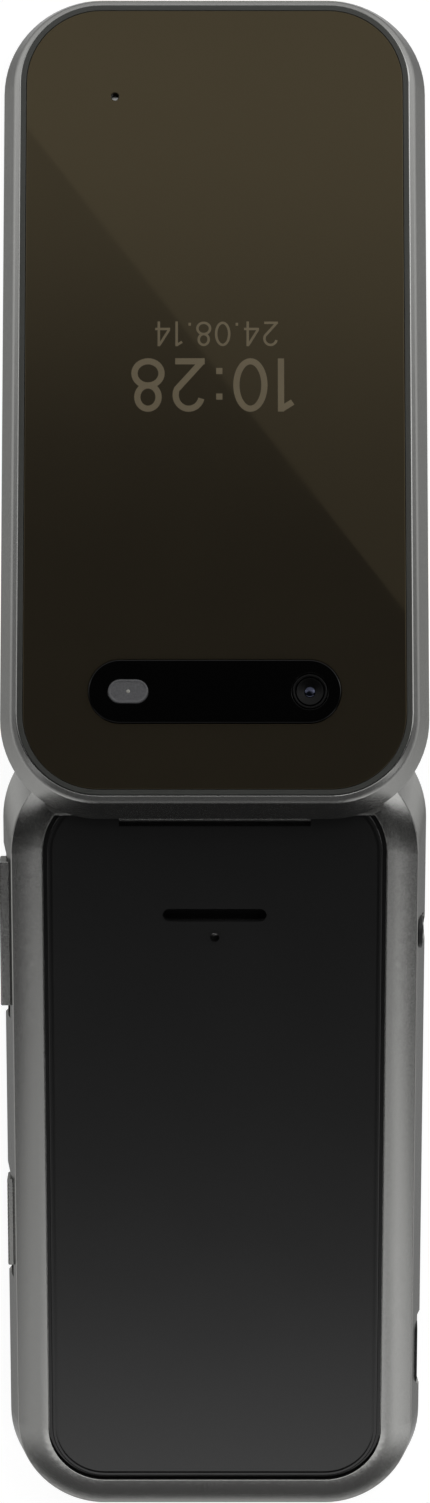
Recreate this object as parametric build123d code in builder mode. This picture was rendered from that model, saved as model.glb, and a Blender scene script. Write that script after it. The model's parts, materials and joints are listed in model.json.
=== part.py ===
from build123d import *
import os
from math import atan, atan2, cos, radians, sin, sqrt

os.makedirs("parts", exist_ok=True)

# Flip phone, standing open on the far edges of its two halves, hinge up.
# X runs along the hinge, the lid lies towards +Y, the base towards -Y, and Z is up.
# All sizes are in millimetres.

# Outline shared by both halves
width = 55.0                    # across the widest line of either half
reach = 101.27                  # hinge axis to the far end of either half
tail = 6.8                      # hinge axis to the hinge end of the lid
corner_radius = 12.8            # plan corner of the widest outline
edge_round = 1.2                # rounding where a side wall meets an inner face
opening_angle = 158.73          # between the two inner faces when fully open
closed_gap = 0.3                # between the two inner faces when closed

# Base section, from the back plane towards the keypad
base_thickness = 11.3
axis_to_front = 4.75            # hinge axis to the keypad plane, also the ear radius
shoulder_width = 4.0            # flat shoulder, from its rim to the crease
shoulder_drop = 1.8
shoulder_crown = 0.35           # how far the shoulder bulges above its straight line
crease_setback = 1.7            # of the crease behind the side wall's own line, at the hinge end
crease_hinge_radius = 13.5
crease_round = 0.5              # rounding where the shoulder meets the side wall
base_wall_lean = 1.2            # crease to the widest line, sideways
base_wall_drop = 5.0            # crease to the widest line, in depth
front_inset = 1.05              # keypad plane edge, in from the widest line

# Lid section, from the glass towards the main display
lid_thickness = 7.3
lid_band_round = 2.0            # rounding between the bevel and the side wall
lid_rim_round = 0.25            # rounding between the rim and the bevel
trim_width = 0.87               # dark trim round the outer glass
bevel_width = 0.75
bevel_drop = 0.9
rim_drop = 0.2                  # metal rim below the glass
lid_wall_lean = 1.55            # bevel to the widest line, sideways
lid_wall_drop = 4.4             # bevel to the widest line, in depth
inner_inset = 1.4               # main display plane edge, in from the widest line

# Hinge
ear_length = 12.5               # side of the base to the knuckle, at the widest line
knuckle_radius = 4.4
neck_width = 6.0
hinge_gap = 0.3                 # beside and round the knuckle
cartridge_radius = 2.5
flex_space = 7.0                # in the knuckle, between the bush and the cartridge
shaft_radius = 1.25
shaft_grip = 4.7                # length of the shaft inside the right ear
spring_space = 5.2              # solid spring end of the cartridge, beyond the shaft
bush_radius = 2.4
bush_bore = 1.6
bush_grip = 4.7                 # length of the bush inside the left ear
bush_insert = 7.0               # length of the bush inside the knuckle
running_fit = 0.03              # radial, shaft or bush in a turning bore
press_gap = 0.02                # radial, fixed pin or can in its bore
flex_roll_radius = 0.65         # flexible board, rolled along the hinge axis
flex_sheet = 0.3
flex_width = 2.0
flex_overlap = 0.9              # of the flexible board over the main board
flex_bush_space = 1.5           # end of the bush to the middle of the channel in the ear
flex_channel_width = 3.0
flex_channel_height = 1.2
neck_overlap = 0.5              # of the knuckle neck into the inner cover

# Shells and gaps
front_plate_thickness = 1.2
inner_cover_thickness = 1.2
pocket_inset = 2.1              # base cavity wall line, in from the widest line
lid_pocket_inset = 2.9
ledge_thickness = 1.5           # shelf under the back cover
web_thickness = 0.8             # plate of the lid frame behind the glass
glass_thickness = 1.0
glass_gap = 0.05
part_gap = 0.1                  # between parts laid on each other
hinge_wall = 1.8                # base wall between hinge space and cavity

# Back cover
cover_thickness = 1.1
cover_seat_gap = 0.05
cover_groove = 0.55             # open groove round the raised part of the cover
cover_flange = 0.45             # thin edge of the cover under the groove
cover_flange_gap = 0.1          # round that edge
cover_lip = 0.75                # lip outside the flat of the cover
cover_round = 0.2               # of the upper edge of the lip
lip_line_width = 0.3            # fine line between flat and lip
lip_line_depth = 0.25
recess_land = 0.1               # rim left between the recess and the shoulder
recess_hinge_end = 0.7          # hinge axis to the nominal end of the recess
recess_hinge_radius = 8.2
cover_edge = 4.1                # hinge axis to the straight edge of the cover
cover_edge_gap = 0.1
notch_width = 24.6
notch_depth = 1.36
slot_place = 17.34              # speaker slot, from the hinge axis
slot_length = 13.4
slot_width = 1.7
pinhole_place = 20.31
pinhole_radius = 0.6
pinhole_ring = 0.12             # raised ring round the small hole, its height
pinhole_ring_width = 0.25

# Battery and its bay
aisle_width = 7.3               # from the cavity wall to the bay wall, both sides
battery_cover_gap = 0.2
battery_round = 1.0
battery_start = 30.0            # hinge axis to the hinge end of the battery
battery_end_space = 17.27       # from the far end of the battery to the far end of the base
battery_gap = 0.3
bay_wall = 0.8
deck_thickness = 0.8

# Boards, membrane and domes
board_thickness = 0.8
board_clearance = 0.5
board_start = 9.5               # hinge axis to the hinge end of the main board
membrane_thickness = 0.4
membrane_start = 10.0
dome_radius = 1.2
dome_height = 0.25
dome_gap = 0.1

# Keys
key_flange = 0.55
key_flange_width = 0.5
key_clearance = 0.25            # round each cap in the front plate
key_proud = 0.1
key_travel = 0.35
key_corner = 2.2
plunger_radius = 1.25
keypad_side_margin = 4.7        # side of the base to the outer edge of the keys
column_gap = 1.2
row_gap = 2.5
first_row = 46.5                # hinge axis to the middle of the first number row
last_row_space = 16.67          # middle of the last number row to the far end of the base
nav_place = 22.5
nav_radius = 9.2
nav_flange_drop = 0.35          # room for the ring to rock under the plate
nav_room = 1.0                  # between the flange of the ring and the keys beside it
select_radius = 3.8
nav_bore_gap = 0.45
soft_key_width = 11.0
soft_key_height = 7.2
soft_key_place = 17.0
call_key_place = 29.5

# Side controls and sockets, measured along the base from the hinge axis
side_key_level = 0.9            # middle of the side keys above the hinge axis
recess_depth = 0.75             # of the side recesses, at the widest line
recess_half_height = 2.25
rocker_place = 21.08
rocker_length = 19.5
rocker_height = 3.2
rocker_proud = 0.5
rocker_recess_near = 1.93       # recess beyond the rocker, at its hinge end
rocker_recess_far = 1.57        # and at its other end
recess_ramp = 2.0               # sloped hinge end of a side recess
rib_key_place = 60.95
rib_key_length = 12.1
rib_key_height = 2.8
rib_recess_near = 1.66
rib_recess_far = 1.5
rib_pitch = 0.55
rib_depth = 0.2
rib_travel = 0.3
side_gap = 0.3                  # round a side key in the wall
side_flange = 0.6
side_flange_margin = 0.9
side_nub = 0.3
side_key_round = 0.2
jack_place = 20.8
jack_bore = 1.8
jack_nose_radius = 2.3
jack_depth = 11.5
jack_body_width = 6.0
jack_body_height = 4.4
usb_far_space = 21.67           # middle of the charging socket to the far end of the base
usb_level = 0.9
usb_width = 9.0
usb_height = 3.2
usb_depth = 6.6
usb_shell = 0.3
usb_recess_margin = 0.7
usb_recess_depth = 0.4
usb_round = 1.5
usb_tongue_length = 4.95
usb_tongue_thickness = 0.6
usb_tongue_side_gap = 0.9       # inside the shell, at each end of the tongue

# Parts inside the base
speaker_length = 15.0
speaker_width = 11.0
speaker_height = 3.1
box_corner = 1.0                # of the loudspeaker, earpiece and antenna carrier
motor_radius = 4.0
motor_height = 2.9
motor_wall_gap = 5.4            # cavity wall to the motor, room for the side switches
motor_place = 17.0
contact_block_width = 9.0
contact_block_length = 2.4
contact_block_height = 4.2
contact_window_height = 2.6
contact_tip = 1.0
contact_pitch = 2.6
sim_width = 16.0
sim_length = 13.4
sim_height = 1.0
sim_place = 45.0
antenna_side_space = 13.0       # side of the base to the antenna carrier
antenna_far_space = 3.77        # far end of the antenna carrier to the far end of the base
antenna_near_gap = 1.4          # bay wall to the antenna carrier
antenna_height = 4.4
shield_side_gap = 0.95
shield_start = 34.5             # hinge axis to the hinge end of the shield can
shield_usb_gap = 5.6
shield_height = 2.6
shield_corner = 0.5
switch_size = 3.0
screw_radius = 0.7
screw_head_radius = 1.3
screw_head_height = 0.7
screw_clearance = 0.05
drive_length = 1.3              # slot for the screwdriver
drive_width = 0.36
drive_depth = 0.3
drive_corner = 0.14
boss_radius = 1.75
boss_gap = 0.4                  # round a boss in the boards
base_near_screw_inset = 8.9     # side of the base to the screws at the hinge end
base_near_screw_place = 10.9
base_far_screw_inset = 10.5     # side of the base to the screws at the far end
base_far_screw_space = 7.67     # those screws to the far end of the base

# Parts of the lid, measured along the lid from the hinge axis
camera_place = 8.8
pill_side_space = 11.45         # side of the lid to the end of the camera window
pill_width = 8.1
pill_proud = 0.35
flash_side_space = 16.53        # side of the lid to the middle of the flash
flash_length = 5.1
flash_width = 3.05
lens_side_space = 15.42
lens_radius = 1.6
lens_ring_radius = 2.25
camera_size = 8.6
camera_depth = 4.6
camera_gap = 0.2                # round the camera in the frame and the board
port_side_space = 14.6
port_far_space = 14.67          # small port to the far end of the lid
port_radius = 0.5
outer_display_place = 50.0
outer_display_width = 30.4
outer_display_length = 38.4
outer_display_thickness = 1.6
main_display_start = 18.0       # hinge axis to the hinge end of the main display
main_display_far_space = 19.27  # far end of the main display to the far end of the lid
main_display_side_gap = 1.6     # wall of the lid frame to the main display
main_display_thickness = 1.9
active_side_border = 1.4        # edge of the display to its lit area, sideways
active_end_border = 3.2         # the same, lengthways: the lit area measures 2.8 inches
window_side_overlap = 1.0       # window beyond the display, sideways
window_end_overlap = 3.5
view_margin = 0.5               # of the opening in the inner cover round the lit area
window_thickness = 0.8
window_corner = 3.0
earpiece_far_space = 8.87       # earpiece to the far end of the lid
earpiece_length = 12.0
earpiece_width = 6.0
earpiece_thickness = 2.2
earpiece_slot = 10.0
earpiece_slot_width = 1.2
mesh_thickness = 0.25
mesh_margin = 0.5               # of the earpiece mesh round its slot
lid_board_inset = 10.3          # side of the lid to the lid board
lid_board_start = 2.0           # hinge axis to the tail end of the lid board
lid_board_end = 16.6
lid_board_level = 7.6
lid_near_screw_inset = 6.7      # side of the lid to the screws at the hinge end
lid_near_screw_place = 6.0
lid_far_screw_inset = 9.5
lid_far_screw_space = 9.27      # those screws to the far end of the lid
bumper_radius = 1.7
bumper_side_space = 15.5
bumper_far_space = 4.37         # bumpers to the far end of the lid
bumper_proud = 0.22
bumper_depth = 0.5

# How far a cutting shape runs past the face that it cuts, and how near an edge counts as at a level
over = 1.0
line_tolerance = 0.01

# Derived heights of the base, measured from the hinge axis along its back normal
base_back = base_thickness - axis_to_front
base_front = -axis_to_front
crease_level = base_back - shoulder_drop
base_widest = crease_level - base_wall_drop
plate_level = base_front + front_plate_thickness
cover_level = base_back - cover_thickness
ledge_top = cover_level - cover_seat_gap
ledge_under = ledge_top - ledge_thickness
rim_inset = shoulder_width + base_wall_lean
rim_hinge_end = recess_land - recess_hinge_end
rim_hinge_radius = recess_hinge_radius + recess_land
crease_hinge_end = tail - base_wall_lean - crease_setback
membrane_front = plate_level + key_flange + cover_seat_gap + key_travel + part_gap
membrane_back = membrane_front + membrane_thickness
dome_top = membrane_back + dome_gap
board_front = dome_top + dome_height
board_back = board_front + board_thickness
deck_under = board_back + 2 * part_gap
deck_top = deck_under + deck_thickness
battery_level = deck_top + 2 * part_gap
battery_thickness = cover_level - battery_cover_gap - battery_level
jack_level = ledge_under - part_gap - jack_body_height / 2

# Derived heights of the lid, measured from the hinge axis along its glass normal
lid_inner = axis_to_front + closed_gap
lid_glass = lid_inner + lid_thickness
lid_rim = lid_glass - rim_drop
bevel_level = lid_rim - bevel_drop
lid_widest = bevel_level - lid_wall_drop
lid_split = lid_inner + inner_cover_thickness
glass_under = lid_glass - glass_thickness
web_top = glass_under - part_gap
web_under = web_top - web_thickness
bevel_inset = lid_wall_lean
lid_rim_inset = bevel_inset + bevel_width
glass_inset = lid_rim_inset + trim_width

# Places and sizes that follow from the outline and from the neighbours, base first
cavity_half = width / 2 - pocket_inset
wall_cut = 2 * pocket_inset
recess_floor = width / 2 - recess_depth
rocker_recess_start = rocker_place - rocker_length / 2 - rocker_recess_near
rocker_recess_end = rocker_place + rocker_length / 2 + rocker_recess_far
rib_recess_start = rib_key_place - rib_key_length / 2 - rib_recess_near
rib_recess_end = rib_key_place + rib_key_length / 2 + rib_recess_far
knuckle_length = width - 2 * ear_length
battery_width = 2 * (cavity_half - aisle_width - bay_wall - battery_gap)
battery_length = reach - battery_start - battery_end_space
number_key_width = (width - 2 * keypad_side_margin - 2 * column_gap) / 3
column_pitch = number_key_width + column_gap
row_pitch = (reach - last_row_space - first_row) / 3
number_key_height = row_pitch - row_gap
soft_key_x = width / 2 - keypad_side_margin - soft_key_width / 2
usb_place = reach - usb_far_space
motor_x = cavity_half - motor_wall_gap - motor_radius
antenna_width = width - 2 * antenna_side_space
antenna_length = battery_end_space - battery_gap - bay_wall - antenna_near_gap - antenna_far_space
antenna_place = reach - antenna_far_space - antenna_length / 2
shield_length = usb_place - usb_width / 2 - shield_usb_gap - shield_start
shield_place = shield_start + shield_length / 2
shield_width = aisle_width - 2 * shield_side_gap
cartridge_length = knuckle_length - part_gap - bush_insert - flex_space
shaft_insert = cartridge_length - spring_space

# The same for the lid
pill_length = width - 2 * pill_side_space
flash_x = -(width / 2 - flash_side_space)
lens_x = width / 2 - lens_side_space
camera_hole = camera_size + 2 * camera_gap
port_x = -(width / 2 - port_side_space)
port_place = reach - port_far_space
main_display_width = width - 2 * (lid_pocket_inset + main_display_side_gap)
main_display_length = reach - main_display_start - main_display_far_space
main_display_place = main_display_start + main_display_length / 2
active_width = main_display_width - 2 * active_side_border
active_length = main_display_length - 2 * active_end_border
window_width = main_display_width + 2 * window_side_overlap
window_length = main_display_length + 2 * window_end_overlap
earpiece_place = reach - earpiece_far_space
lid_board_width = width - 2 * lid_board_inset
bumper_x = width / 2 - bumper_side_space
bumper_place = reach - bumper_far_space


def edge_centre_inset(inset, drop):
    """How far in the centre of the edge rounding lies from the widest line."""
    lean = atan(inset / drop)
    return inset * (drop - edge_round) / drop + edge_round / cos(lean)


# Standing pose: both far edges touch the floor with their edge rounding
fold = radians(180.0 - opening_angle)
base_edge_y = -(reach - edge_centre_inset(front_inset, base_widest - base_front))
base_edge_z = base_front + edge_round
lid_edge_y = reach - edge_centre_inset(inner_inset, lid_widest - lid_inner)
lid_edge_z = lid_inner + edge_round
lid_edge_along = lid_edge_y * cos(fold) + lid_edge_z * sin(fold)
lid_edge_up = lid_edge_z * cos(fold) - lid_edge_y * sin(fold)
base_tilt = atan2(base_edge_z - lid_edge_up, lid_edge_along - base_edge_y)
lid_tilt = fold - base_tilt
axis_height = edge_round - base_edge_y * sin(base_tilt) - base_edge_z * cos(base_tilt)
lid_end_y = reach * cos(lid_tilt) + lid_widest * sin(lid_tilt)
base_end_y = -reach * cos(base_tilt) - base_widest * sin(base_tilt)
axis_y = -(lid_end_y + base_end_y) / 2
hinge_centre = (0, axis_y, axis_height)
base = Plane(origin=hinge_centre, x_dir=(1, 0, 0), z_dir=(0, -sin(base_tilt), cos(base_tilt)))
lid = Plane(origin=hinge_centre, x_dir=(1, 0, 0), z_dir=(0, sin(lid_tilt), cos(lid_tilt)))


# Sketches that many parts use
def rounded(frame, level, size_x, size_y, radius, x=0, y=0):
    """Rounded rectangle parallel to the faces of a half."""
    with BuildSketch(frame.offset(level)) as sketch:
        with Locations((x, y)):
            RectangleRounded(size_x, size_y, radius)
    return sketch.sketch


def block(frame, level, size_x, size_y, x=0, y=0):
    """Plain rectangle parallel to the faces of a half."""
    with BuildSketch(frame.offset(level)) as sketch:
        with Locations((x, y)):
            Rectangle(size_x, size_y)
    return sketch.sketch


def disc(frame, level, radius, x=0, y=0):
    """Circle parallel to the faces of a half."""
    with BuildSketch(frame.offset(level)) as sketch:
        with Locations((x, y)):
            Circle(radius)
    return sketch.sketch


def long_slot(frame, level, length, breadth, x=0, y=0):
    """Slot with round ends that runs along the hinge direction."""
    with BuildSketch(frame.offset(level)) as sketch:
        with Locations((x, y)):
            SlotOverall(length, breadth)
    return sketch.sketch


def across(frame, x):
    """Plane square to the hinge axis at x, with the half's own y and z as its axes."""
    start = frame.from_local_coords((x, 0, 0))
    return Plane(origin=start, x_dir=frame.y_dir, z_dir=frame.x_dir)


def side_disc(frame, x, radius, y=0, z=0):
    """Circle square to the hinge axis."""
    with BuildSketch(across(frame, x)) as sketch:
        with Locations((y, z)):
            Circle(radius)
    return sketch.sketch


def side_block(frame, x, size_y, size_z, y=0, z=0, radius=0):
    """Rectangle square to the hinge axis, rounded where a radius is given."""
    with BuildSketch(across(frame, x)) as sketch:
        with Locations((y, z)):
            if radius:
                RectangleRounded(size_y, size_z, radius)
            else:
                Rectangle(size_y, size_z)
    return sketch.sketch


def lid_outline(level, inset):
    """Plan outline of the lid, in from its widest line."""
    size_x = width - 2 * inset
    size_y = reach + tail - 2 * inset
    return rounded(lid, level, size_x, size_y, corner_radius - inset, 0, (reach - tail) / 2)


def level_edges(form, frame, level):
    """Edges of a form that lie at one level of a half."""
    axis = Axis(frame.origin, frame.z_dir)
    return form.edges().filter_by_position(axis, level - line_tolerance, level + line_tolerance)


# Outer form of each half, before it is parted into shells
def base_outline(level, half_width, near, far, near_radius, far_radius):
    """Plan outline of the base with its own corners at the hinge end and at the far end."""
    with BuildSketch(base.offset(level)) as sketch:
        with BuildLine():
            Polyline(
                (-half_width, -far),
                (half_width, -far),
                (half_width, near),
                (-half_width, near),
                close=True,
            )
        make_face()
        fillet(sketch.vertices().sort_by(Axis.Y)[:2], far_radius)
        fillet(sketch.vertices().sort_by(Axis.Y)[-2:], near_radius)
    return sketch.sketch


def shoulder_section(share):
    """Plan outline of the shoulder, from its rim at share 0 to the crease at share 1."""
    inset = rim_inset - share * shoulder_width
    near = (1 - share) * rim_hinge_end + share * crease_hinge_end
    near_radius = (1 - share) * rim_hinge_radius + share * crease_hinge_radius
    bulge = 4 * shoulder_crown * share * (1 - share)
    level = base_back - share * shoulder_drop + bulge
    return base_outline(
        level, width / 2 - inset, near, reach - inset, near_radius, corner_radius - inset
    )


def base_section(level, inset):
    """Plan outline of the base below the crease, in from its widest line."""
    radius = corner_radius - inset
    return base_outline(level, width / 2 - inset, tail - inset, reach - inset, radius, radius)


def base_form():
    """Solid form of the base, with its hinge end rounded to clear the lid."""
    with BuildPart() as form:
        crease = shoulder_section(1)
        loft(sections=[crease, base_section(base_widest, 0), base_section(base_front, front_inset)],
             ruled=True)
        loft(sections=[shoulder_section(share) for share in (0, 1 / 3, 2 / 3, 1)])
        fillet(level_edges(form, base, base_front), edge_round)
        fillet(level_edges(form, base, crease_level), crease_round)
        with BuildSketch(across(base, -width)):
            with BuildLine():
                ear = axis_to_front
                ramp_start = (ear * sin(fold), ear * cos(fold))
                ramp_run = 3 * tail
                ramp_end = (ramp_start[0] - ramp_run * cos(fold), ramp_start[1] + ramp_run * sin(fold))
                ThreePointArc((0, -ear), (ear, 0), ramp_start)
                Polyline(
                    ramp_start,
                    ramp_end,
                    (-reach - over, ramp_end[1]),
                    (-reach - over, -ear - over),
                    (0, -ear - over),
                    (0, -ear),
                )
            make_face()
        extrude(amount=2 * width, mode=Mode.INTERSECT)
    return form.part


def lid_form():
    """Solid form of the lid, from its metal rim to the main display plane."""
    with BuildPart() as form:
        sections = [
            lid_outline(lid_rim, lid_rim_inset),
            lid_outline(bevel_level, bevel_inset),
            lid_outline(lid_widest, 0),
            lid_outline(lid_inner, inner_inset),
        ]
        loft(sections=sections, ruled=True)
        fillet(level_edges(form, lid, lid_inner), edge_round)
        fillet(level_edges(form, lid, bevel_level), lid_band_round)
        fillet(level_edges(form, lid, lid_rim), lid_rim_round)
    return form.part


def cover_outline(level, inset, end):
    """Outline of the back cover or its recess, in from the recess wall, cut straight at the hinge."""
    whole = rim_inset + recess_land + inset
    full = base_outline(
        level,
        width / 2 - whole,
        -recess_hinge_end - inset,
        reach - whole,
        recess_hinge_radius - inset,
        corner_radius - whole,
    )
    return full - block(base, level, 2 * width, reach, 0, -end + reach / 2)


def base_screw_places():
    """Plan places of the four base screws."""
    near = (width / 2 - base_near_screw_inset, base_near_screw_place)
    far = (width / 2 - base_far_screw_inset, reach - base_far_screw_space)
    return [(side * x, -y) for x, y in (near, far) for side in (-1, 1)]


def lid_screw_places():
    """Plan places of the four lid screws."""
    near = (width / 2 - lid_near_screw_inset, lid_near_screw_place)
    far = (width / 2 - lid_far_screw_inset, reach - lid_far_screw_space)
    return [(side * x, y) for x, y in (near, far) for side in (-1, 1)]


# Keypad layout: name, x, distance from the hinge, width and height
def keypad_layout():
    """Every key of the pad but the rocking ring and its middle key; the user's left is +x."""
    keys = [
        ("soft_key_left", soft_key_x, soft_key_place, soft_key_width, soft_key_height),
        ("soft_key_right", -soft_key_x, soft_key_place, soft_key_width, soft_key_height),
        ("call_key", soft_key_x, call_key_place, soft_key_width, soft_key_height),
        ("end_key", -soft_key_x, call_key_place, soft_key_width, soft_key_height),
    ]
    names = ["1", "2", "3", "4", "5", "6", "7", "8", "9", "star", "0", "hash"]
    for index, name in enumerate(names):
        row, column = divmod(index, 3)
        x = (1 - column) * column_pitch
        place = first_row + row * row_pitch
        keys.append((f"key_{name}", x, place, number_key_width, number_key_height))
    return keys


def key_sketch(level, key, grow):
    """Outline of one key at a level of the base, grown on every side, clear of the rocking ring."""
    name, x, place, size_x, size_y = key
    with BuildSketch(base.offset(level)) as sketch:
        with Locations((x, -place)):
            RectangleRounded(size_x + 2 * grow, size_y + 2 * grow, key_corner + grow)
        with Locations((0, -nav_place)):
            Circle(nav_radius + key_flange_width + nav_room - grow, mode=Mode.SUBTRACT)
    return sketch.sketch


# Base housing: back shell with shoulder, cover shelf, battery bay and hinge ears
knuckle_swing = sqrt((neck_width / 2) ** 2 + lid_inner**2)
knuckle_space = knuckle_swing + hinge_gap
cavity_start = knuckle_space + hinge_wall
cavity_corner = corner_radius - pocket_inset
plate_start = knuckle_space + 2 * hinge_gap
bay_width = battery_width + 2 * battery_gap
bay_length = battery_length + 2 * battery_gap
bay_middle = -(battery_start + battery_length / 2)
ear_start = knuckle_length / 2 + hinge_gap
flex_channel_x = ear_start + bush_grip + flex_bush_space


def draw_cavity(grow, start):
    """Draw the outline of the board space into the active sketch, cut straight at its start."""
    with Locations((0, -(reach - tail) / 2)):
        RectangleRounded(
            2 * (cavity_half + grow),
            reach + tail - 2 * pocket_inset + 2 * grow,
            cavity_corner + grow,
        )
    with Locations((0, -start + reach / 2)):
        Rectangle(2 * width, reach, mode=Mode.SUBTRACT)


def draw_holes(spots, radius):
    """Cut round holes out of the active sketch."""
    with Locations(*spots):
        Circle(radius, mode=Mode.SUBTRACT)


def side_recess(start, end):
    """Scooped recess in the left wall round a side key, seen in plan."""
    with BuildSketch(base.offset(side_key_level - recess_half_height)) as sketch:
        with BuildLine():
            Polyline(
                (-width, -start),
                (-width / 2, -start),
                (-recess_floor, -start - recess_ramp),
                (-recess_floor, -end),
                (-width, -end),
                close=True,
            )
        make_face()
    return sketch.sketch


with BuildPart() as base_housing:
    add(base_form())
    # The front plate takes the keypad side, up to the hinge space
    extrude(
        block(base, base_front - over, 2 * width, reach, 0, -plate_start - reach / 2),
        amount=over + front_plate_thickness,
        mode=Mode.SUBTRACT,
    )
    # Space for the knuckle of the lid
    extrude(
        side_disc(base, -ear_start, knuckle_space),
        amount=2 * ear_start,
        mode=Mode.SUBTRACT,
    )
    # Cavity for the boards, then the deeper aisles round the battery bay
    with BuildSketch(base.offset(plate_level - over)):
        draw_cavity(0, cavity_start)
    extrude(amount=over + deck_under - plate_level, mode=Mode.SUBTRACT)
    with BuildSketch(base.offset(deck_under)):
        draw_cavity(0, cavity_start)
        with Locations((0, bay_middle)):
            Rectangle(bay_width + 2 * bay_wall, bay_length + 2 * bay_wall, mode=Mode.SUBTRACT)
        draw_holes(base_screw_places(), boss_radius)
    extrude(amount=ledge_under - deck_under, mode=Mode.SUBTRACT)
    # Recess of the back cover and the battery bay below it
    extrude(cover_outline(ledge_top, 0, cover_edge - cover_edge_gap), amount=cover_thickness + over,
            mode=Mode.SUBTRACT)
    extrude(block(base, deck_top, bay_width, bay_length, 0, bay_middle), amount=ledge_top,
            mode=Mode.SUBTRACT)
    # Window of the card holder in the deck and of the contacts in the bay wall
    extrude(
        block(base, deck_under, sim_width + 2 * battery_gap, sim_length + 2 * battery_gap, 0, -sim_place),
        amount=deck_thickness,
        mode=Mode.SUBTRACT,
    )
    extrude(
        block(base, deck_top, contact_block_width, bay_wall + 2 * battery_gap, 0,
              -battery_start + bay_wall / 2),
        amount=contact_window_height,
        mode=Mode.SUBTRACT,
    )
    # Sound opening over the loudspeaker
    extrude(
        long_slot(base, ledge_under, slot_length, slot_width, 0, -slot_place),
        amount=ledge_thickness,
        mode=Mode.SUBTRACT,
    )
    # Screw holes through the shelf and its bosses
    for x, y in base_screw_places():
        extrude(disc(base, deck_under, screw_radius + screw_clearance, x, y),
                amount=ledge_top - deck_under, mode=Mode.SUBTRACT)
        extrude(
            disc(base, ledge_top - screw_head_height, screw_head_radius + part_gap, x, y),
            amount=screw_head_height,
            mode=Mode.SUBTRACT,
        )
    # Hinge bores and the channel of the flexible board in the left ear
    extrude(side_disc(base, ear_start, shaft_radius + press_gap), amount=shaft_grip, mode=Mode.SUBTRACT)
    extrude(
        side_disc(base, -ear_start - bush_grip, bush_radius + press_gap),
        amount=bush_grip,
        mode=Mode.SUBTRACT,
    )
    channel_length = cavity_start + flex_channel_height + over
    extrude(
        block(base, -flex_channel_height / 2, flex_channel_width, channel_length,
              -flex_channel_x, flex_channel_height - channel_length / 2),
        amount=flex_channel_height,
        mode=Mode.SUBTRACT,
    )
    extrude(
        side_disc(base, -flex_channel_x - flex_channel_width / 2, bush_bore),
        amount=flex_channel_x + flex_channel_width / 2 - ear_start - bush_grip,
        mode=Mode.SUBTRACT,
    )
    # Recesses and openings of the two side keys
    extrude(side_recess(rocker_recess_start, rocker_recess_end), amount=2 * recess_half_height,
            mode=Mode.SUBTRACT)
    extrude(side_recess(rib_recess_start, rib_recess_end), amount=2 * recess_half_height,
            mode=Mode.SUBTRACT)
    for place, length, height in [
        (rocker_place, rocker_length, rocker_height),
        (rib_key_place, rib_key_length, rib_key_height),
    ]:
        extrude(
            side_block(base, -width / 2, length + 2 * side_gap, height + 2 * side_gap,
                       -place, side_key_level),
            amount=wall_cut,
            mode=Mode.SUBTRACT,
        )
    # Openings of the audio jack and the charging socket in the right wall
    extrude(
        side_disc(base, cavity_half - over, jack_nose_radius + press_gap, -jack_place, jack_level),
        amount=wall_cut,
        mode=Mode.SUBTRACT,
    )
    extrude(
        side_block(base, cavity_half - over, usb_width + part_gap, usb_height + part_gap,
                   -usb_place, usb_level, usb_round),
        amount=wall_cut,
        mode=Mode.SUBTRACT,
    )
    extrude(
        side_block(base, width / 2 - usb_recess_depth, usb_width + 2 * usb_recess_margin,
                   usb_height + 2 * usb_recess_margin, -usb_place, usb_level, usb_round),
        amount=over,
        mode=Mode.SUBTRACT,
    )
base_housing.part.label = "base_housing"
export_step(base_housing.part, "parts/base_housing.step")

# Front plate: keypad side of the base, with a hole for each key
with BuildPart() as front_plate:
    add(base_form())
    split(bisect_by=base.offset(plate_level), keep=Keep.BOTTOM)
    extrude(
        block(base, base_front - over, 2 * width, reach, 0, -plate_start - part_gap + reach / 2),
        amount=over + 2 * front_plate_thickness,
        mode=Mode.SUBTRACT,
    )
    for x, y in base_screw_places():
        extrude(disc(base, plate_level, boss_radius, x, y), amount=board_front - plate_level - part_gap)
        extrude(
            disc(base, plate_level, screw_radius + screw_clearance, x, y),
            amount=board_front - plate_level,
            mode=Mode.SUBTRACT,
        )
    for key in keypad_layout():
        extrude(key_sketch(base_front - over, key, key_clearance), amount=2 * front_plate_thickness + over,
                mode=Mode.SUBTRACT)
    extrude(
        disc(base, base_front - over, nav_radius + key_clearance, 0, -nav_place),
        amount=2 * front_plate_thickness + over,
        mode=Mode.SUBTRACT,
    )
front_plate.part.label = "front_plate"
export_step(front_plate.part, "parts/front_plate.step")

# Main board behind the keypad, with a hole for each screw boss
with BuildPart() as main_board:
    with BuildSketch(base.offset(board_front)):
        draw_cavity(-board_clearance, board_start)
        draw_holes(base_screw_places(), screw_radius + boss_gap)
    extrude(amount=board_thickness)
main_board.part.label = "main_board"
export_step(main_board.part, "parts/main_board.step")

# Dome sheet: one snap dome under each key, and four round the rocking ring
with BuildPart() as key_domes:
    spots = [(x, -place) for name, x, place, size_x, size_y in keypad_layout()]
    spots.append((0, -nav_place))
    ring_middle = (nav_radius + select_radius) / 2
    for turn in range(4):
        along = ring_middle * cos(radians(90 * turn))
        sideways = ring_middle * sin(radians(90 * turn))
        spots.append((sideways, -nav_place + along))
    with BuildSketch(base.offset(dome_top)):
        with Locations(*spots):
            Circle(dome_radius)
    extrude(amount=dome_height)
key_domes.part.label = "key_domes"
export_step(key_domes.part, "parts/key_domes.step")

# Keypad membrane: thin sheet with a hole for each plunger and screw boss
with BuildPart() as keypad_membrane:
    with BuildSketch(base.offset(membrane_front)):
        draw_cavity(-board_clearance, membrane_start)
        draw_holes(spots, plunger_radius + 2 * key_clearance)
        draw_holes(base_screw_places(), boss_radius + boss_gap)
    extrude(amount=membrane_thickness)
keypad_membrane.part.label = "keypad_membrane"
export_step(keypad_membrane.part, "parts/keypad_membrane.step")

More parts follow.
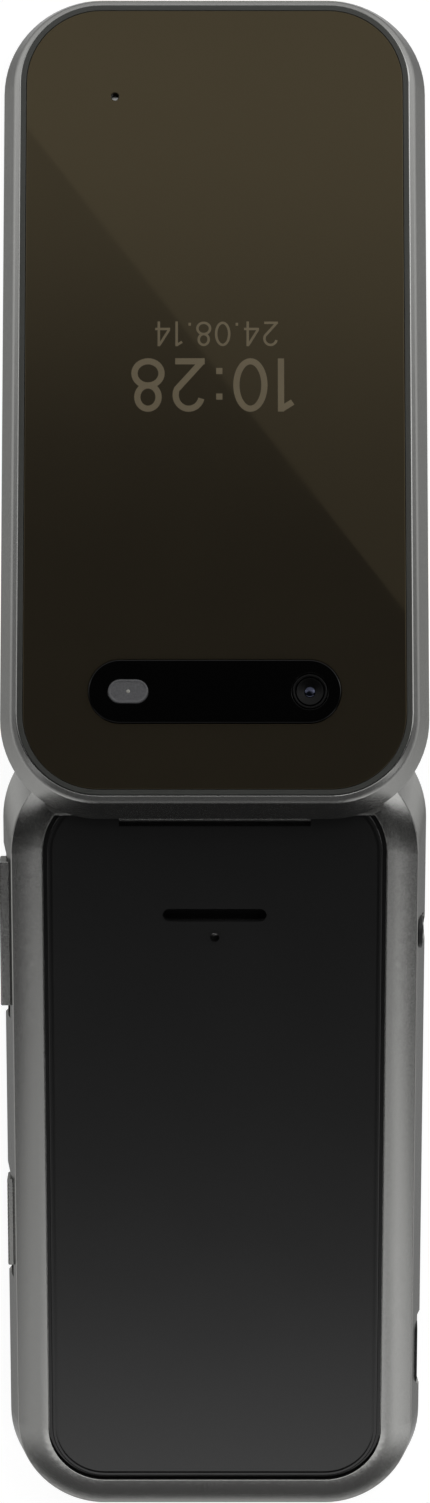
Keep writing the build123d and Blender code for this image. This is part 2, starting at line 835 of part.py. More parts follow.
# Keys: cap through the front plate, flange behind it and a plunger to the dome
flange_front = plate_level + cover_seat_gap
flange_back = flange_front + key_flange
plunger_end = dome_top - key_travel - part_gap
for key in keypad_layout():
    with BuildPart() as pad_key:
        key_name, key_x, key_place = key[:3]
        extrude(key_sketch(base_front - key_proud, key, 0),
                amount=flange_front - base_front + key_proud)
        extrude(key_sketch(flange_front, key, key_flange_width), amount=key_flange)
        extrude(disc(base, flange_back, plunger_radius, key_x, -key_place),
                amount=plunger_end - flange_back)
    pad_key.part.label = key_name
    export_step(pad_key.part, f"parts/{key_name}.step")

# Rocking ring of the keypad and the key in its middle
with BuildPart() as nav_ring:
    nav_front = base_front - key_proud
    nav_flange_front = plate_level + nav_flange_drop
    extrude(disc(base, nav_front, nav_radius, 0, -nav_place), amount=nav_flange_front - nav_front)
    extrude(disc(base, nav_flange_front, nav_radius + key_flange_width, 0, -nav_place),
            amount=membrane_front - nav_flange_drop + part_gap - nav_flange_front)
    extrude(disc(base, nav_front - over, select_radius + nav_bore_gap, 0, -nav_place),
            amount=2 * over + axis_to_front, mode=Mode.SUBTRACT)
nav_ring.part.label = "nav_ring"
export_step(nav_ring.part, "parts/nav_ring.step")

with BuildPart() as select_key:
    extrude(disc(base, base_front - key_proud, select_radius, 0, -nav_place),
            amount=flange_back - base_front + key_proud)
    extrude(disc(base, flange_back, plunger_radius, 0, -nav_place), amount=plunger_end - flange_back)
select_key.part.label = "select_key"
export_step(select_key.part, "parts/select_key.step")

# Back cover with its fine edge line, nail notch, speaker slot and ringed small hole
with BuildPart() as back_cover:
    extrude(cover_outline(cover_level, cover_flange_gap, cover_edge), amount=cover_flange)
    extrude(cover_outline(cover_level, cover_groove, cover_edge), amount=cover_thickness)
    # The straight edge, last along the base, stays sharp
    lip_edges = level_edges(back_cover, base, base_back).sort_by(Axis(base.origin, base.y_dir))
    fillet(lip_edges[:-1], cover_round)
    flat_inset = cover_groove + cover_lip
    line_level = base_back - lip_line_depth
    line_outer = cover_outline(line_level, flat_inset - lip_line_width, cover_edge - over)
    line_inner = cover_outline(line_level, flat_inset, cover_edge - over)
    extrude(line_outer - line_inner, amount=over, mode=Mode.SUBTRACT)
    extrude(block(base, cover_level - over, notch_width, 2 * notch_depth, 0, -cover_edge),
            amount=cover_thickness + 2 * over, mode=Mode.SUBTRACT)
    extrude(long_slot(base, cover_level - over, slot_length, slot_width, 0, -slot_place),
            amount=cover_thickness + 2 * over, mode=Mode.SUBTRACT)
    extrude(disc(base, base_back, pinhole_radius + pinhole_ring_width, 0, -pinhole_place),
            amount=pinhole_ring)
    extrude(disc(base, cover_level - over, pinhole_radius, 0, -pinhole_place),
            amount=cover_thickness + 2 * over, mode=Mode.SUBTRACT)
back_cover.part.label = "back_cover"
export_step(back_cover.part, "parts/back_cover.step")

# Battery, with its bay in the housing
with BuildPart() as battery:
    extrude(block(base, battery_level, battery_width, battery_length, 0, bay_middle),
            amount=battery_thickness)
    fillet(battery.edges().filter_by(Axis(hinge_centre, base.z_dir)), battery_round)
battery.part.label = "battery"
export_step(battery.part, "parts/battery.step")

# Spring contacts of the battery: block behind the bay wall with three tips
with BuildPart() as battery_contacts:
    block_near = battery_start - bay_wall - 2 * battery_gap
    block_middle = -(block_near - contact_block_length / 2)
    extrude(block(base, board_back + part_gap / 2, contact_block_width, contact_block_length,
                  0, block_middle), amount=contact_block_height)
    for step in (-1, 0, 1):
        tip_length = battery_start - block_near - cover_seat_gap
        extrude(
            block(base, deck_top + contact_tip, contact_tip, tip_length + contact_tip,
                  step * contact_pitch, -block_near - (tip_length - contact_tip) / 2),
            amount=contact_tip,
        )
battery_contacts.part.label = "battery_contacts"
export_step(battery_contacts.part, "parts/battery_contacts.step")

# Card holder under the battery, seen through the window of the deck
with BuildPart() as sim_holder:
    extrude(block(base, board_back + part_gap / 2, sim_width, sim_length, 0, -sim_place),
            amount=sim_height)
sim_holder.part.label = "sim_holder"
export_step(sim_holder.part, "parts/sim_holder.step")

# Loudspeaker below the sound opening of the shelf
with BuildPart() as loudspeaker:
    extrude(rounded(base, ledge_under - part_gap - speaker_height, speaker_length, speaker_width,
                    box_corner, 0, -slot_place), amount=speaker_height)
loudspeaker.part.label = "loudspeaker"
export_step(loudspeaker.part, "parts/loudspeaker.step")

# Speaker mesh in the sound opening, below the slot of the back cover
with BuildPart() as speaker_mesh:
    extrude(long_slot(base, ledge_top - 2 * mesh_thickness, slot_length - part_gap,
                      slot_width - part_gap, 0, -slot_place), amount=mesh_thickness)
speaker_mesh.part.label = "speaker_mesh"
export_step(speaker_mesh.part, "parts/speaker_mesh.step")

# Vibration motor, a coin beside the loudspeaker
with BuildPart() as vibration_motor:
    extrude(disc(base, board_back + part_gap, motor_radius, -motor_x, -motor_place),
            amount=motor_height)
vibration_motor.part.label = "vibration_motor"
export_step(vibration_motor.part, "parts/vibration_motor.step")

# Antenna carrier at the far end of the base
with BuildPart() as antenna_carrier:
    extrude(rounded(base, board_back + part_gap, antenna_width, antenna_length, box_corner, 0,
                    -antenna_place), amount=antenna_height)
antenna_carrier.part.label = "antenna_carrier"
export_step(antenna_carrier.part, "parts/antenna_carrier.step")

# Shield can over the radio parts, in the right aisle beside the battery bay
with BuildPart() as shield_can:
    shield_x = (battery_width / 2 + battery_gap + bay_wall + cavity_half) / 2
    extrude(rounded(base, board_back + part_gap, shield_width, shield_length, shield_corner, shield_x,
                    -shield_place), amount=shield_height)
shield_can.part.label = "shield_can"
export_step(shield_can.part, "parts/shield_can.step")

# Screws that hold the housing to the front plate
with BuildPart() as base_screws:
    for x, y in base_screw_places():
        head_level = ledge_top - screw_head_height
        extrude(disc(base, head_level, screw_head_radius, x, y),
                amount=screw_head_height - cover_seat_gap)
        extrude(disc(base, plate_level + part_gap, screw_radius, x, y),
                amount=head_level - plate_level - part_gap)
        extrude(
            rounded(base, ledge_top - cover_seat_gap - drive_depth, drive_length, drive_width,
                    drive_corner, x, y),
            amount=screw_head_height, mode=Mode.SUBTRACT,
        )
base_screws.part.label = "base_screws"
export_step(base_screws.part, "parts/base_screws.step")

# Audio jack in the right wall: body with a round nose and a blind bore
jack_mouth = width / 2 - base_wall_lean * (jack_level - base_widest) / base_wall_drop
with BuildPart() as audio_jack:
    jack_back = jack_mouth - jack_depth - over
    body_front = cavity_half - part_gap
    extrude(side_block(base, jack_back, jack_body_width, jack_body_height, -jack_place, jack_level),
            amount=body_front - jack_back)
    extrude(side_disc(base, body_front, jack_nose_radius, -jack_place, jack_level),
            amount=jack_mouth - body_front)
    extrude(side_disc(base, jack_mouth - jack_depth, jack_bore, -jack_place, jack_level),
            amount=jack_depth + over, mode=Mode.SUBTRACT)
audio_jack.part.label = "audio_jack"
export_step(audio_jack.part, "parts/audio_jack.step")

# Charging socket in the right wall: shell, open at its mouth, with its tongue
with BuildPart() as usb_socket:
    usb_mouth = width / 2 - usb_recess_depth
    usb_back = usb_mouth - usb_depth
    extrude(side_block(base, usb_back, usb_width, usb_height, -usb_place, usb_level, usb_round),
            amount=usb_depth)
    extrude(
        side_block(base, usb_back + usb_shell, usb_width - 2 * usb_shell, usb_height - 2 * usb_shell,
                   -usb_place, usb_level, usb_round - usb_shell),
        amount=usb_depth, mode=Mode.SUBTRACT,
    )
    tongue_width = usb_width - 2 * (usb_shell + usb_tongue_side_gap)
    extrude(side_block(base, usb_back, tongue_width, usb_tongue_thickness, -usb_place, usb_level),
            amount=usb_tongue_length)
usb_socket.part.label = "usb_socket"
export_step(usb_socket.part, "parts/usb_socket.step")


# Side keys in the left wall
def side_key_body(place, length, height, face):
    """Cap through the wall out to its face, flange inside the wall and a nub towards the switch."""
    with BuildPart() as body:
        flange_outer = cavity_half - side_gap
        flange_inner = flange_outer - side_flange
        extrude(side_block(base, -face, length, height, -place, side_key_level), amount=face - flange_outer)
        outer_edges = body.faces().sort_by(Axis(hinge_centre, base.x_dir))[0].edges()
        fillet(outer_edges, side_key_round)
        extrude(
            side_block(base, -flange_outer, length + 2 * side_flange_margin, height, -place,
                       side_key_level),
            amount=side_flange,
        )
        extrude(side_block(base, -flange_inner, length / 2, height / 2, -place, side_key_level),
                amount=side_nub)
    return body.part


with BuildPart() as volume_key:
    add(side_key_body(rocker_place, rocker_length, rocker_height, width / 2 + rocker_proud))
volume_key.part.label = "volume_key"
export_step(volume_key.part, "parts/volume_key.step")

with BuildPart() as side_key:
    add(side_key_body(rib_key_place, rib_key_length, rib_key_height, width / 2))
    ribs = int((rib_key_length - 2 * rib_pitch) / rib_pitch)
    for rib in range(ribs):
        rib_y = -rib_key_place + (rib - (ribs - 1) / 2) * rib_pitch
        extrude(side_block(base, -width / 2, rib_pitch / 2, 2 * rib_key_height, rib_y, side_key_level),
                amount=rib_depth, mode=Mode.SUBTRACT)
side_key.part.label = "side_key"
export_step(side_key.part, "parts/side_key.step")

# Switches behind the side keys: two for the rocker and one for the ribbed key
with BuildPart() as side_switches:
    switch_face = cavity_half - side_gap - side_flange - side_nub - rib_travel - part_gap
    switch_spots = [rocker_place - rocker_length / 4, rocker_place + rocker_length / 4, rib_key_place]
    for place in switch_spots:
        extrude(
            side_block(base, -switch_face, switch_size, switch_size, -place,
                       board_back + part_gap + switch_size / 2),
            amount=switch_size / 2,
        )
side_switches.part.label = "side_switches"
export_step(side_switches.part, "parts/side_switches.step")

# Hinge: spring cartridge in the knuckle, its shaft in the right ear, hollow bush in the left ear
knuckle_half = knuckle_length / 2
cartridge_end = knuckle_half - part_gap
cartridge_start = cartridge_end - cartridge_length
with BuildPart() as hinge_cartridge:
    extrude(side_disc(base, cartridge_start, cartridge_radius), amount=cartridge_length)
    extrude(
        side_disc(base, cartridge_end - shaft_insert - part_gap, shaft_radius + running_fit),
        amount=shaft_insert + over,
        mode=Mode.SUBTRACT,
    )
hinge_cartridge.part.label = "hinge_cartridge"
export_step(hinge_cartridge.part, "parts/hinge_cartridge.step")

with BuildPart() as hinge_shaft:
    shaft_start = cartridge_end - shaft_insert
    shaft_end = ear_start + shaft_grip - part_gap
    extrude(side_disc(base, shaft_start, shaft_radius), amount=shaft_end - shaft_start)
hinge_shaft.part.label = "hinge_shaft"
export_step(hinge_shaft.part, "parts/hinge_shaft.step")

with BuildPart() as hinge_bush:
    bush_start = -ear_start - bush_grip + part_gap
    bush_end = -knuckle_half + bush_insert
    extrude(side_disc(base, bush_start, bush_radius), amount=bush_end - bush_start)
    extrude(side_disc(base, bush_start - over, bush_bore), amount=bush_end - bush_start + 2 * over,
            mode=Mode.SUBTRACT)
hinge_bush.part.label = "hinge_bush"
export_step(hinge_bush.part, "parts/hinge_bush.step")

# Flexible board through the hinge, rolled on the axis and parted in the middle of the bush end
with BuildPart() as flex_base_side:
    roll_start = -flex_channel_x - flex_width / 2
    roll_end = bush_end - part_gap
    extrude(side_disc(base, roll_start, flex_roll_radius), amount=roll_end - roll_start)
    strip_far = board_start + flex_overlap
    extrude(
        block(base, -flex_sheet / 2, flex_width, strip_far, -flex_channel_x, -strip_far / 2),
        amount=flex_sheet,
    )
    extrude(
        block(base, board_back + cover_seat_gap, flex_width, flex_sheet, -flex_channel_x,
              -strip_far + flex_sheet / 2),
        amount=-board_back,
    )
flex_base_side.part.label = "flex_base_side"
export_step(flex_base_side.part, "parts/flex_base_side.step")

with BuildPart() as flex_lid_side:
    lid_roll_start = bush_end + part_gap
    lid_roll_end = cartridge_start - 2 * part_gap
    extrude(side_disc(lid, lid_roll_start, flex_roll_radius), amount=lid_roll_end - lid_roll_start)
    flex_lid_x = (lid_roll_start + lid_roll_end) / 2
    extrude(block(lid, 0, flex_width, flex_sheet, flex_lid_x, 0), amount=lid_board_level - part_gap)
    extrude(
        block(lid, lid_board_level - part_gap - flex_sheet, flex_width, lid_board_start + flex_width,
              flex_lid_x, (lid_board_start + flex_width) / 2),
        amount=flex_sheet,
    )
flex_lid_side.part.label = "flex_lid_side"
export_step(flex_lid_side.part, "parts/flex_lid_side.step")


# Lid frame: metal ring with the web behind the glass
with BuildPart() as lid_frame:
    add(lid_form())
    split(bisect_by=lid.offset(lid_split), keep=Keep.TOP)
    extrude(lid_outline(web_top, lid_rim_inset + part_gap), amount=over + lid_thickness,
            mode=Mode.SUBTRACT)
    with BuildSketch(lid.offset(lid_split)):
        with Locations((0, (reach - tail) / 2)):
            RectangleRounded(
                width - 2 * lid_pocket_inset,
                reach + tail - 2 * lid_pocket_inset,
                corner_radius - lid_pocket_inset,
            )
        draw_holes(lid_screw_places(), boss_radius)
    extrude(amount=web_under - lid_split, mode=Mode.SUBTRACT)
    for x, y in lid_screw_places():
        extrude(disc(lid, lid_split, screw_radius + screw_clearance, x, y),
                amount=web_under - lid_split, mode=Mode.SUBTRACT)
    # Windows in the web for the outer display, camera and flash
    display_hole_x = outer_display_width + 2 * part_gap
    display_hole_y = outer_display_length + 2 * part_gap
    extrude(block(lid, web_under, display_hole_x, display_hole_y, 0, outer_display_place),
            amount=2 * web_thickness, mode=Mode.SUBTRACT)
    extrude(block(lid, web_under, camera_hole, camera_hole, lens_x, camera_place),
            amount=2 * web_thickness, mode=Mode.SUBTRACT)
    extrude(long_slot(lid, web_under, flash_length, flash_width, flash_x, camera_place),
            amount=2 * web_thickness, mode=Mode.SUBTRACT)
lid_frame.part.label = "lid_frame"
export_step(lid_frame.part, "parts/lid_frame.step")

# Dark trim between the metal rim and the glass
with BuildPart() as glass_trim:
    trim_level = web_top + cover_seat_gap
    trim_outer = lid_outline(trim_level, lid_rim_inset + part_gap + glass_gap)
    trim_inner = lid_outline(trim_level, glass_inset - glass_gap)
    extrude(trim_outer - trim_inner, amount=lid_rim + part_gap - trim_level)
glass_trim.part.label = "glass_trim"
export_step(glass_trim.part, "parts/glass_trim.step")

# Outer glass with a long hole for the camera window and the small round port
with BuildPart() as cover_glass:
    extrude(lid_outline(glass_under, glass_inset), amount=glass_thickness)
    extrude(
        long_slot(lid, glass_under - over, pill_length + 2 * glass_gap, pill_width + 2 * glass_gap,
                  0, camera_place),
        amount=glass_thickness + 2 * over, mode=Mode.SUBTRACT,
    )
    extrude(disc(lid, glass_under - over, port_radius, port_x, port_place),
            amount=glass_thickness + 2 * over, mode=Mode.SUBTRACT)
cover_glass.part.label = "cover_glass"
export_step(cover_glass.part, "parts/cover_glass.step")

# Camera window, standing a little proud of the glass
window_level = glass_under + part_gap
with BuildPart() as camera_window:
    extrude(long_slot(lid, window_level, pill_length, pill_width, 0, camera_place),
            amount=glass_thickness - part_gap + pill_proud)
    top_edges = camera_window.faces().sort_by(Axis(hinge_centre, lid.z_dir))[-1].edges()
    chamfer(top_edges, part_gap)
    extrude(disc(lid, window_level - over, lens_ring_radius + part_gap, lens_x, camera_place),
            amount=glass_thickness + 3 * over, mode=Mode.SUBTRACT)
    extrude(
        long_slot(lid, window_level - over, flash_length + part_gap, flash_width + part_gap,
                  flash_x, camera_place),
        amount=glass_thickness + 3 * over, mode=Mode.SUBTRACT,
    )
camera_window.part.label = "camera_window"
export_step(camera_window.part, "parts/camera_window.step")

with BuildPart() as camera_lens_ring:
    extrude(disc(lid, window_level, lens_ring_radius, lens_x, camera_place),
            amount=glass_thickness - part_gap + pill_proud)
    extrude(disc(lid, window_level - over, lens_radius + glass_gap, lens_x, camera_place),
            amount=glass_thickness + 3 * over, mode=Mode.SUBTRACT)
camera_lens_ring.part.label = "camera_lens_ring"
export_step(camera_lens_ring.part, "parts/camera_lens_ring.step")

with BuildPart() as camera_lens:
    extrude(disc(lid, window_level, lens_radius, lens_x, camera_place), amount=glass_thickness)
camera_lens.part.label = "camera_lens"
export_step(camera_lens.part, "parts/camera_lens.step")

with BuildPart() as flash_lens:
    extrude(long_slot(lid, window_level, flash_length, flash_width, flash_x, camera_place),
            amount=glass_thickness - part_gap + pill_proud)
flash_lens.part.label = "flash_lens"
export_step(flash_lens.part, "parts/flash_lens.step")

with BuildPart() as camera_module:
    extrude(block(lid, glass_under - camera_depth, camera_size, camera_size, lens_x, camera_place),
            amount=camera_depth)
camera_module.part.label = "camera_module"
export_step(camera_module.part, "parts/camera_module.step")

# Board of the lid, notched for the camera, with the flash lamp soldered on it
with BuildPart() as lid_board:
    lid_board_length = lid_board_end - lid_board_start
    lid_board_middle = (lid_board_end + lid_board_start) / 2
    extrude(block(lid, lid_board_level, lid_board_width, lid_board_length, 0, lid_board_middle),
            amount=board_thickness)
    extrude(block(lid, lid_board_level - over, camera_hole, camera_hole, lens_x, camera_place),
            amount=board_thickness + 2 * over, mode=Mode.SUBTRACT)
    lamp_size = flash_width - 2 * part_gap
    lamp_level = lid_board_level + board_thickness
    extrude(block(lid, lamp_level, lamp_size, lamp_size, flash_x, camera_place),
            amount=web_top - lamp_level)
lid_board.part.label = "lid_board"
export_step(lid_board.part, "parts/lid_board.step")

# Outer display in the window of the web, main display behind it
with BuildPart() as outer_display:
    extrude(
        block(lid, web_top - outer_display_thickness, outer_display_width, outer_display_length,
              0, outer_display_place),
        amount=outer_display_thickness + cover_seat_gap,
    )
outer_display.part.label = "outer_display"
export_step(outer_display.part, "parts/outer_display.step")

with BuildPart() as main_display:
    main_level = lid_split + part_gap
    extrude(block(lid, main_level, main_display_width, main_display_length, 0, main_display_place),
            amount=main_display_thickness)
main_display.part.label = "main_display"
export_step(main_display.part, "parts/main_display.step")

# Inner cover of the lid: main display side, with the hinge knuckle
with BuildPart() as lid_inner_cover:
    neck_height = lid_inner + neck_overlap
    add(lid_form())
    split(bisect_by=lid.offset(lid_split), keep=Keep.BOTTOM)
    extrude(side_disc(lid, -knuckle_half, knuckle_radius), amount=knuckle_length)
    extrude(side_block(lid, -knuckle_half, neck_width, neck_height, 0, neck_height / 2),
            amount=knuckle_length)
    # Bores of the knuckle: cartridge on the right, bush on the left, flexible board between
    extrude(side_disc(lid, cartridge_start - part_gap, cartridge_radius + press_gap),
            amount=knuckle_length, mode=Mode.SUBTRACT)
    extrude(side_disc(lid, -knuckle_half, bush_radius + running_fit),
            amount=knuckle_half + cartridge_start, mode=Mode.SUBTRACT)
    extrude(block(lid, 0, flex_channel_width, flex_channel_height, flex_lid_x, 0),
            amount=lid_split + over, mode=Mode.SUBTRACT)
    # Opening and shallow seat of the main display window
    extrude(
        block(lid, lid_inner - over, active_width + 2 * view_margin, active_length + 2 * view_margin,
              0, main_display_place),
        amount=inner_cover_thickness + 2 * over, mode=Mode.SUBTRACT,
    )
    extrude(
        rounded(lid, lid_inner - over, window_width + part_gap, window_length + part_gap,
                window_corner, 0, main_display_place),
        amount=over + window_thickness + part_gap, mode=Mode.SUBTRACT,
    )
    extrude(long_slot(lid, lid_inner - over, earpiece_slot, earpiece_slot_width, 0, earpiece_place),
            amount=inner_cover_thickness + 2 * over, mode=Mode.SUBTRACT)
    for x, y in lid_screw_places():
        extrude(disc(lid, lid_inner - over, screw_radius + part_gap, x, y),
                amount=inner_cover_thickness + 2 * over, mode=Mode.SUBTRACT)
        extrude(disc(lid, lid_inner - over, screw_head_radius + part_gap, x, y),
                amount=over + screw_head_height + cover_seat_gap, mode=Mode.SUBTRACT)
    for side in (-1, 1):
        extrude(
            disc(lid, lid_inner - over, bumper_radius + cover_seat_gap, side * bumper_x, bumper_place),
            amount=over + bumper_depth, mode=Mode.SUBTRACT,
        )
lid_inner_cover.part.label = "lid_inner_cover"
export_step(lid_inner_cover.part, "parts/lid_inner_cover.step")

with BuildPart() as main_display_window:
    extrude(
        rounded(lid, lid_inner + cover_seat_gap, window_width, window_length, window_corner, 0,
                main_display_place),
        amount=window_thickness,
    )
main_display_window.part.label = "main_display_window"
export_step(main_display_window.part, "parts/main_display_window.step")

# Earpiece and its mesh behind the slot of the inner cover
with BuildPart() as earpiece_mesh:
    extrude(long_slot(lid, lid_split + cover_seat_gap, earpiece_slot + 2 * mesh_margin,
                      earpiece_slot_width + 2 * mesh_margin, 0, earpiece_place), amount=mesh_thickness)
earpiece_mesh.part.label = "earpiece_mesh"
export_step(earpiece_mesh.part, "parts/earpiece_mesh.step")

with BuildPart() as earpiece:
    extrude(
        rounded(lid, lid_split + mesh_thickness + part_gap, earpiece_length, earpiece_width, box_corner,
                0, earpiece_place),
        amount=earpiece_thickness,
    )
earpiece.part.label = "earpiece"
export_step(earpiece.part, "parts/earpiece.step")

# Rubber bumpers that meet the front plate when the phone is closed
with BuildPart() as lid_bumpers:
    for side in (-1, 1):
        extrude(disc(lid, lid_inner - bumper_proud, bumper_radius, side * bumper_x, bumper_place),
                amount=bumper_proud + bumper_depth - cover_seat_gap)
lid_bumpers.part.label = "lid_bumpers"
export_step(lid_bumpers.part, "parts/lid_bumpers.step")

# Screws that hold the inner cover to the lid frame
with BuildPart() as lid_screws:
    for x, y in lid_screw_places():
        head_under = lid_inner + cover_seat_gap
        extrude(disc(lid, head_under, screw_head_radius, x, y), amount=screw_head_height - cover_seat_gap)
        extrude(disc(lid, head_under, screw_radius, x, y), amount=web_under - part_gap - head_under)
        extrude(rounded(lid, head_under, drive_length, drive_width, drive_corner, x, y),
                amount=drive_depth, mode=Mode.SUBTRACT)
lid_screws.part.label = "lid_screws"
export_step(lid_screws.part, "parts/lid_screws.step")
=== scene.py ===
"""Flip phone, standing open on its two far edges: finishes, fine shapes, light and camera."""
import json
import logging
import math
from dataclasses import dataclass, field
from enum import Enum

import bpy
from mathutils import Matrix, Vector


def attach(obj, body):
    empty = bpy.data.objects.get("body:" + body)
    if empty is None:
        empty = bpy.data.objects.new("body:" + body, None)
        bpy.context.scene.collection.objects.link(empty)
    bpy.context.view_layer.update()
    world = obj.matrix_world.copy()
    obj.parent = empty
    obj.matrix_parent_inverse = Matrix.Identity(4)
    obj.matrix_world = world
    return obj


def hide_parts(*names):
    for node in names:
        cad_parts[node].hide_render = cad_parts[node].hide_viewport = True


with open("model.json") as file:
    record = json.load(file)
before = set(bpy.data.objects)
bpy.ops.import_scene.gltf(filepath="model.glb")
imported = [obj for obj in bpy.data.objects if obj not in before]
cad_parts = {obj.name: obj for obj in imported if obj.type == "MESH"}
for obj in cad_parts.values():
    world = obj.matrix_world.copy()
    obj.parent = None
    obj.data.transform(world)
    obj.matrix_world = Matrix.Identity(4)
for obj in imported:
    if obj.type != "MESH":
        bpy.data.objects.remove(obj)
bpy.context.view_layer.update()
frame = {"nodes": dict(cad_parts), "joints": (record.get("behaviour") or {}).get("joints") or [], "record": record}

MM = 0.001
log = logging.getLogger("flip_phone")

Point = tuple[float, float]
Colour = tuple[float, float, float, float]
Tree = bpy.types.NodeTree
Socket = bpy.types.NodeSocket
WHITE: Colour = (1.0, 1.0, 1.0, 1.0)


class Grain(Enum):
    """How the fine pattern of a finish is laid."""

    FLAKES = "flakes"
    EROSION = "erosion"
    TURNED = "turned"
    BRUSHED = "brushed"
    WOVEN = "woven"
    SMOOTH = "smooth"


@dataclass(frozen=True)
class Half:
    """One half of the phone, with its own directions.

    Args:
        origin: middle of the hinge axis, in metres.
        normal: direction out of the half's outer face.
    """

    origin: Vector
    normal: Vector

    def matrix(self) -> Matrix:
        """Matrix from the half's own millimetres to the row frame."""
        side = Vector((1.0, 0.0, 0.0))
        columns = Matrix((side, self.normal.cross(side), self.normal)).transposed()
        return Matrix.Translation(self.origin) @ (columns * MM).to_4x4()


def read_halves() -> tuple[Half, Half]:
    """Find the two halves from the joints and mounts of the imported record.

    Returns:
        The base and the lid.
    """
    joints = {joint["name"]: joint for joint in frame["joints"]}
    mounts = {mount["name"]: mount for mount in frame["record"]["mounts"]}
    origin = Vector(joints["lid_hinge"]["pos_m"])
    ways = (joints["back_cover_lift"]["axis"], mounts["outer_glass_face"]["axis"])
    base, lid = (Half(origin, Vector(way).normalized()) for way in ways)
    return base, lid


def linear(code: str) -> Colour:
    """Turn an sRGB hex colour into linear values.

    Args:
        code: colour as six hex digits, such as "8a8a86".

    Returns:
        Red, green, blue and an alpha of one.
    """
    values = [int(code[i : i + 2], 16) / 255 for i in (0, 2, 4)]
    light = [v / 12.92 if v <= 0.04045 else ((v + 0.055) / 1.055) ** 2.4 for v in values]
    return (*light, 1.0)


def wire(tree: Tree, node: bpy.types.Node, inputs: dict) -> None:
    """Give a node's inputs their values or links.

    Args:
        tree: node tree that holds the node.
        node: node whose inputs are set.
        inputs: values or output sockets for them.
    """
    for key, value in inputs.items():
        if isinstance(value, Socket):
            tree.links.new(value, node.inputs[key])
        else:
            node.inputs[key].default_value = value


def add_node(tree: Tree, kind: str, inputs: dict | None = None, **settings: object) -> bpy.types.Node:
    """Add a shader node with its settings, values and links.

    Args:
        tree: node tree that takes the node.
        kind: Blender's name of the node type.
        inputs: values or output sockets for the node's inputs.
        settings: properties of the node.

    Returns:
        The new node.
    """
    node = tree.nodes.new(kind)
    for name, value in settings.items():
        setattr(node, name, value)
    wire(tree, node, inputs or {})
    return node


# Scale of a pattern along x, y and z: below 1 it is drawn out that way
GRAIN_STRETCH = {Grain.BRUSHED: (0.04, 1.0, 1.0), Grain.TURNED: (1.0, 1.0, 0.3)}
# Clouds that handling leaves: how many in a metre, and their share of the pattern
CLOUDS_PER_METRE = 70.0
CLOUD_SHARE = 0.3
# Values of the mixed pattern that stand for its two ends
PATTERN_ENDS = (0.25, 0.75)
# Inputs of a map range, in the order in which the sizes below give them
RANGE = ("Value", "From Min", "From Max", "To Min", "To Max")
# Least roughness of any finish
SMOOTHEST = 0.01


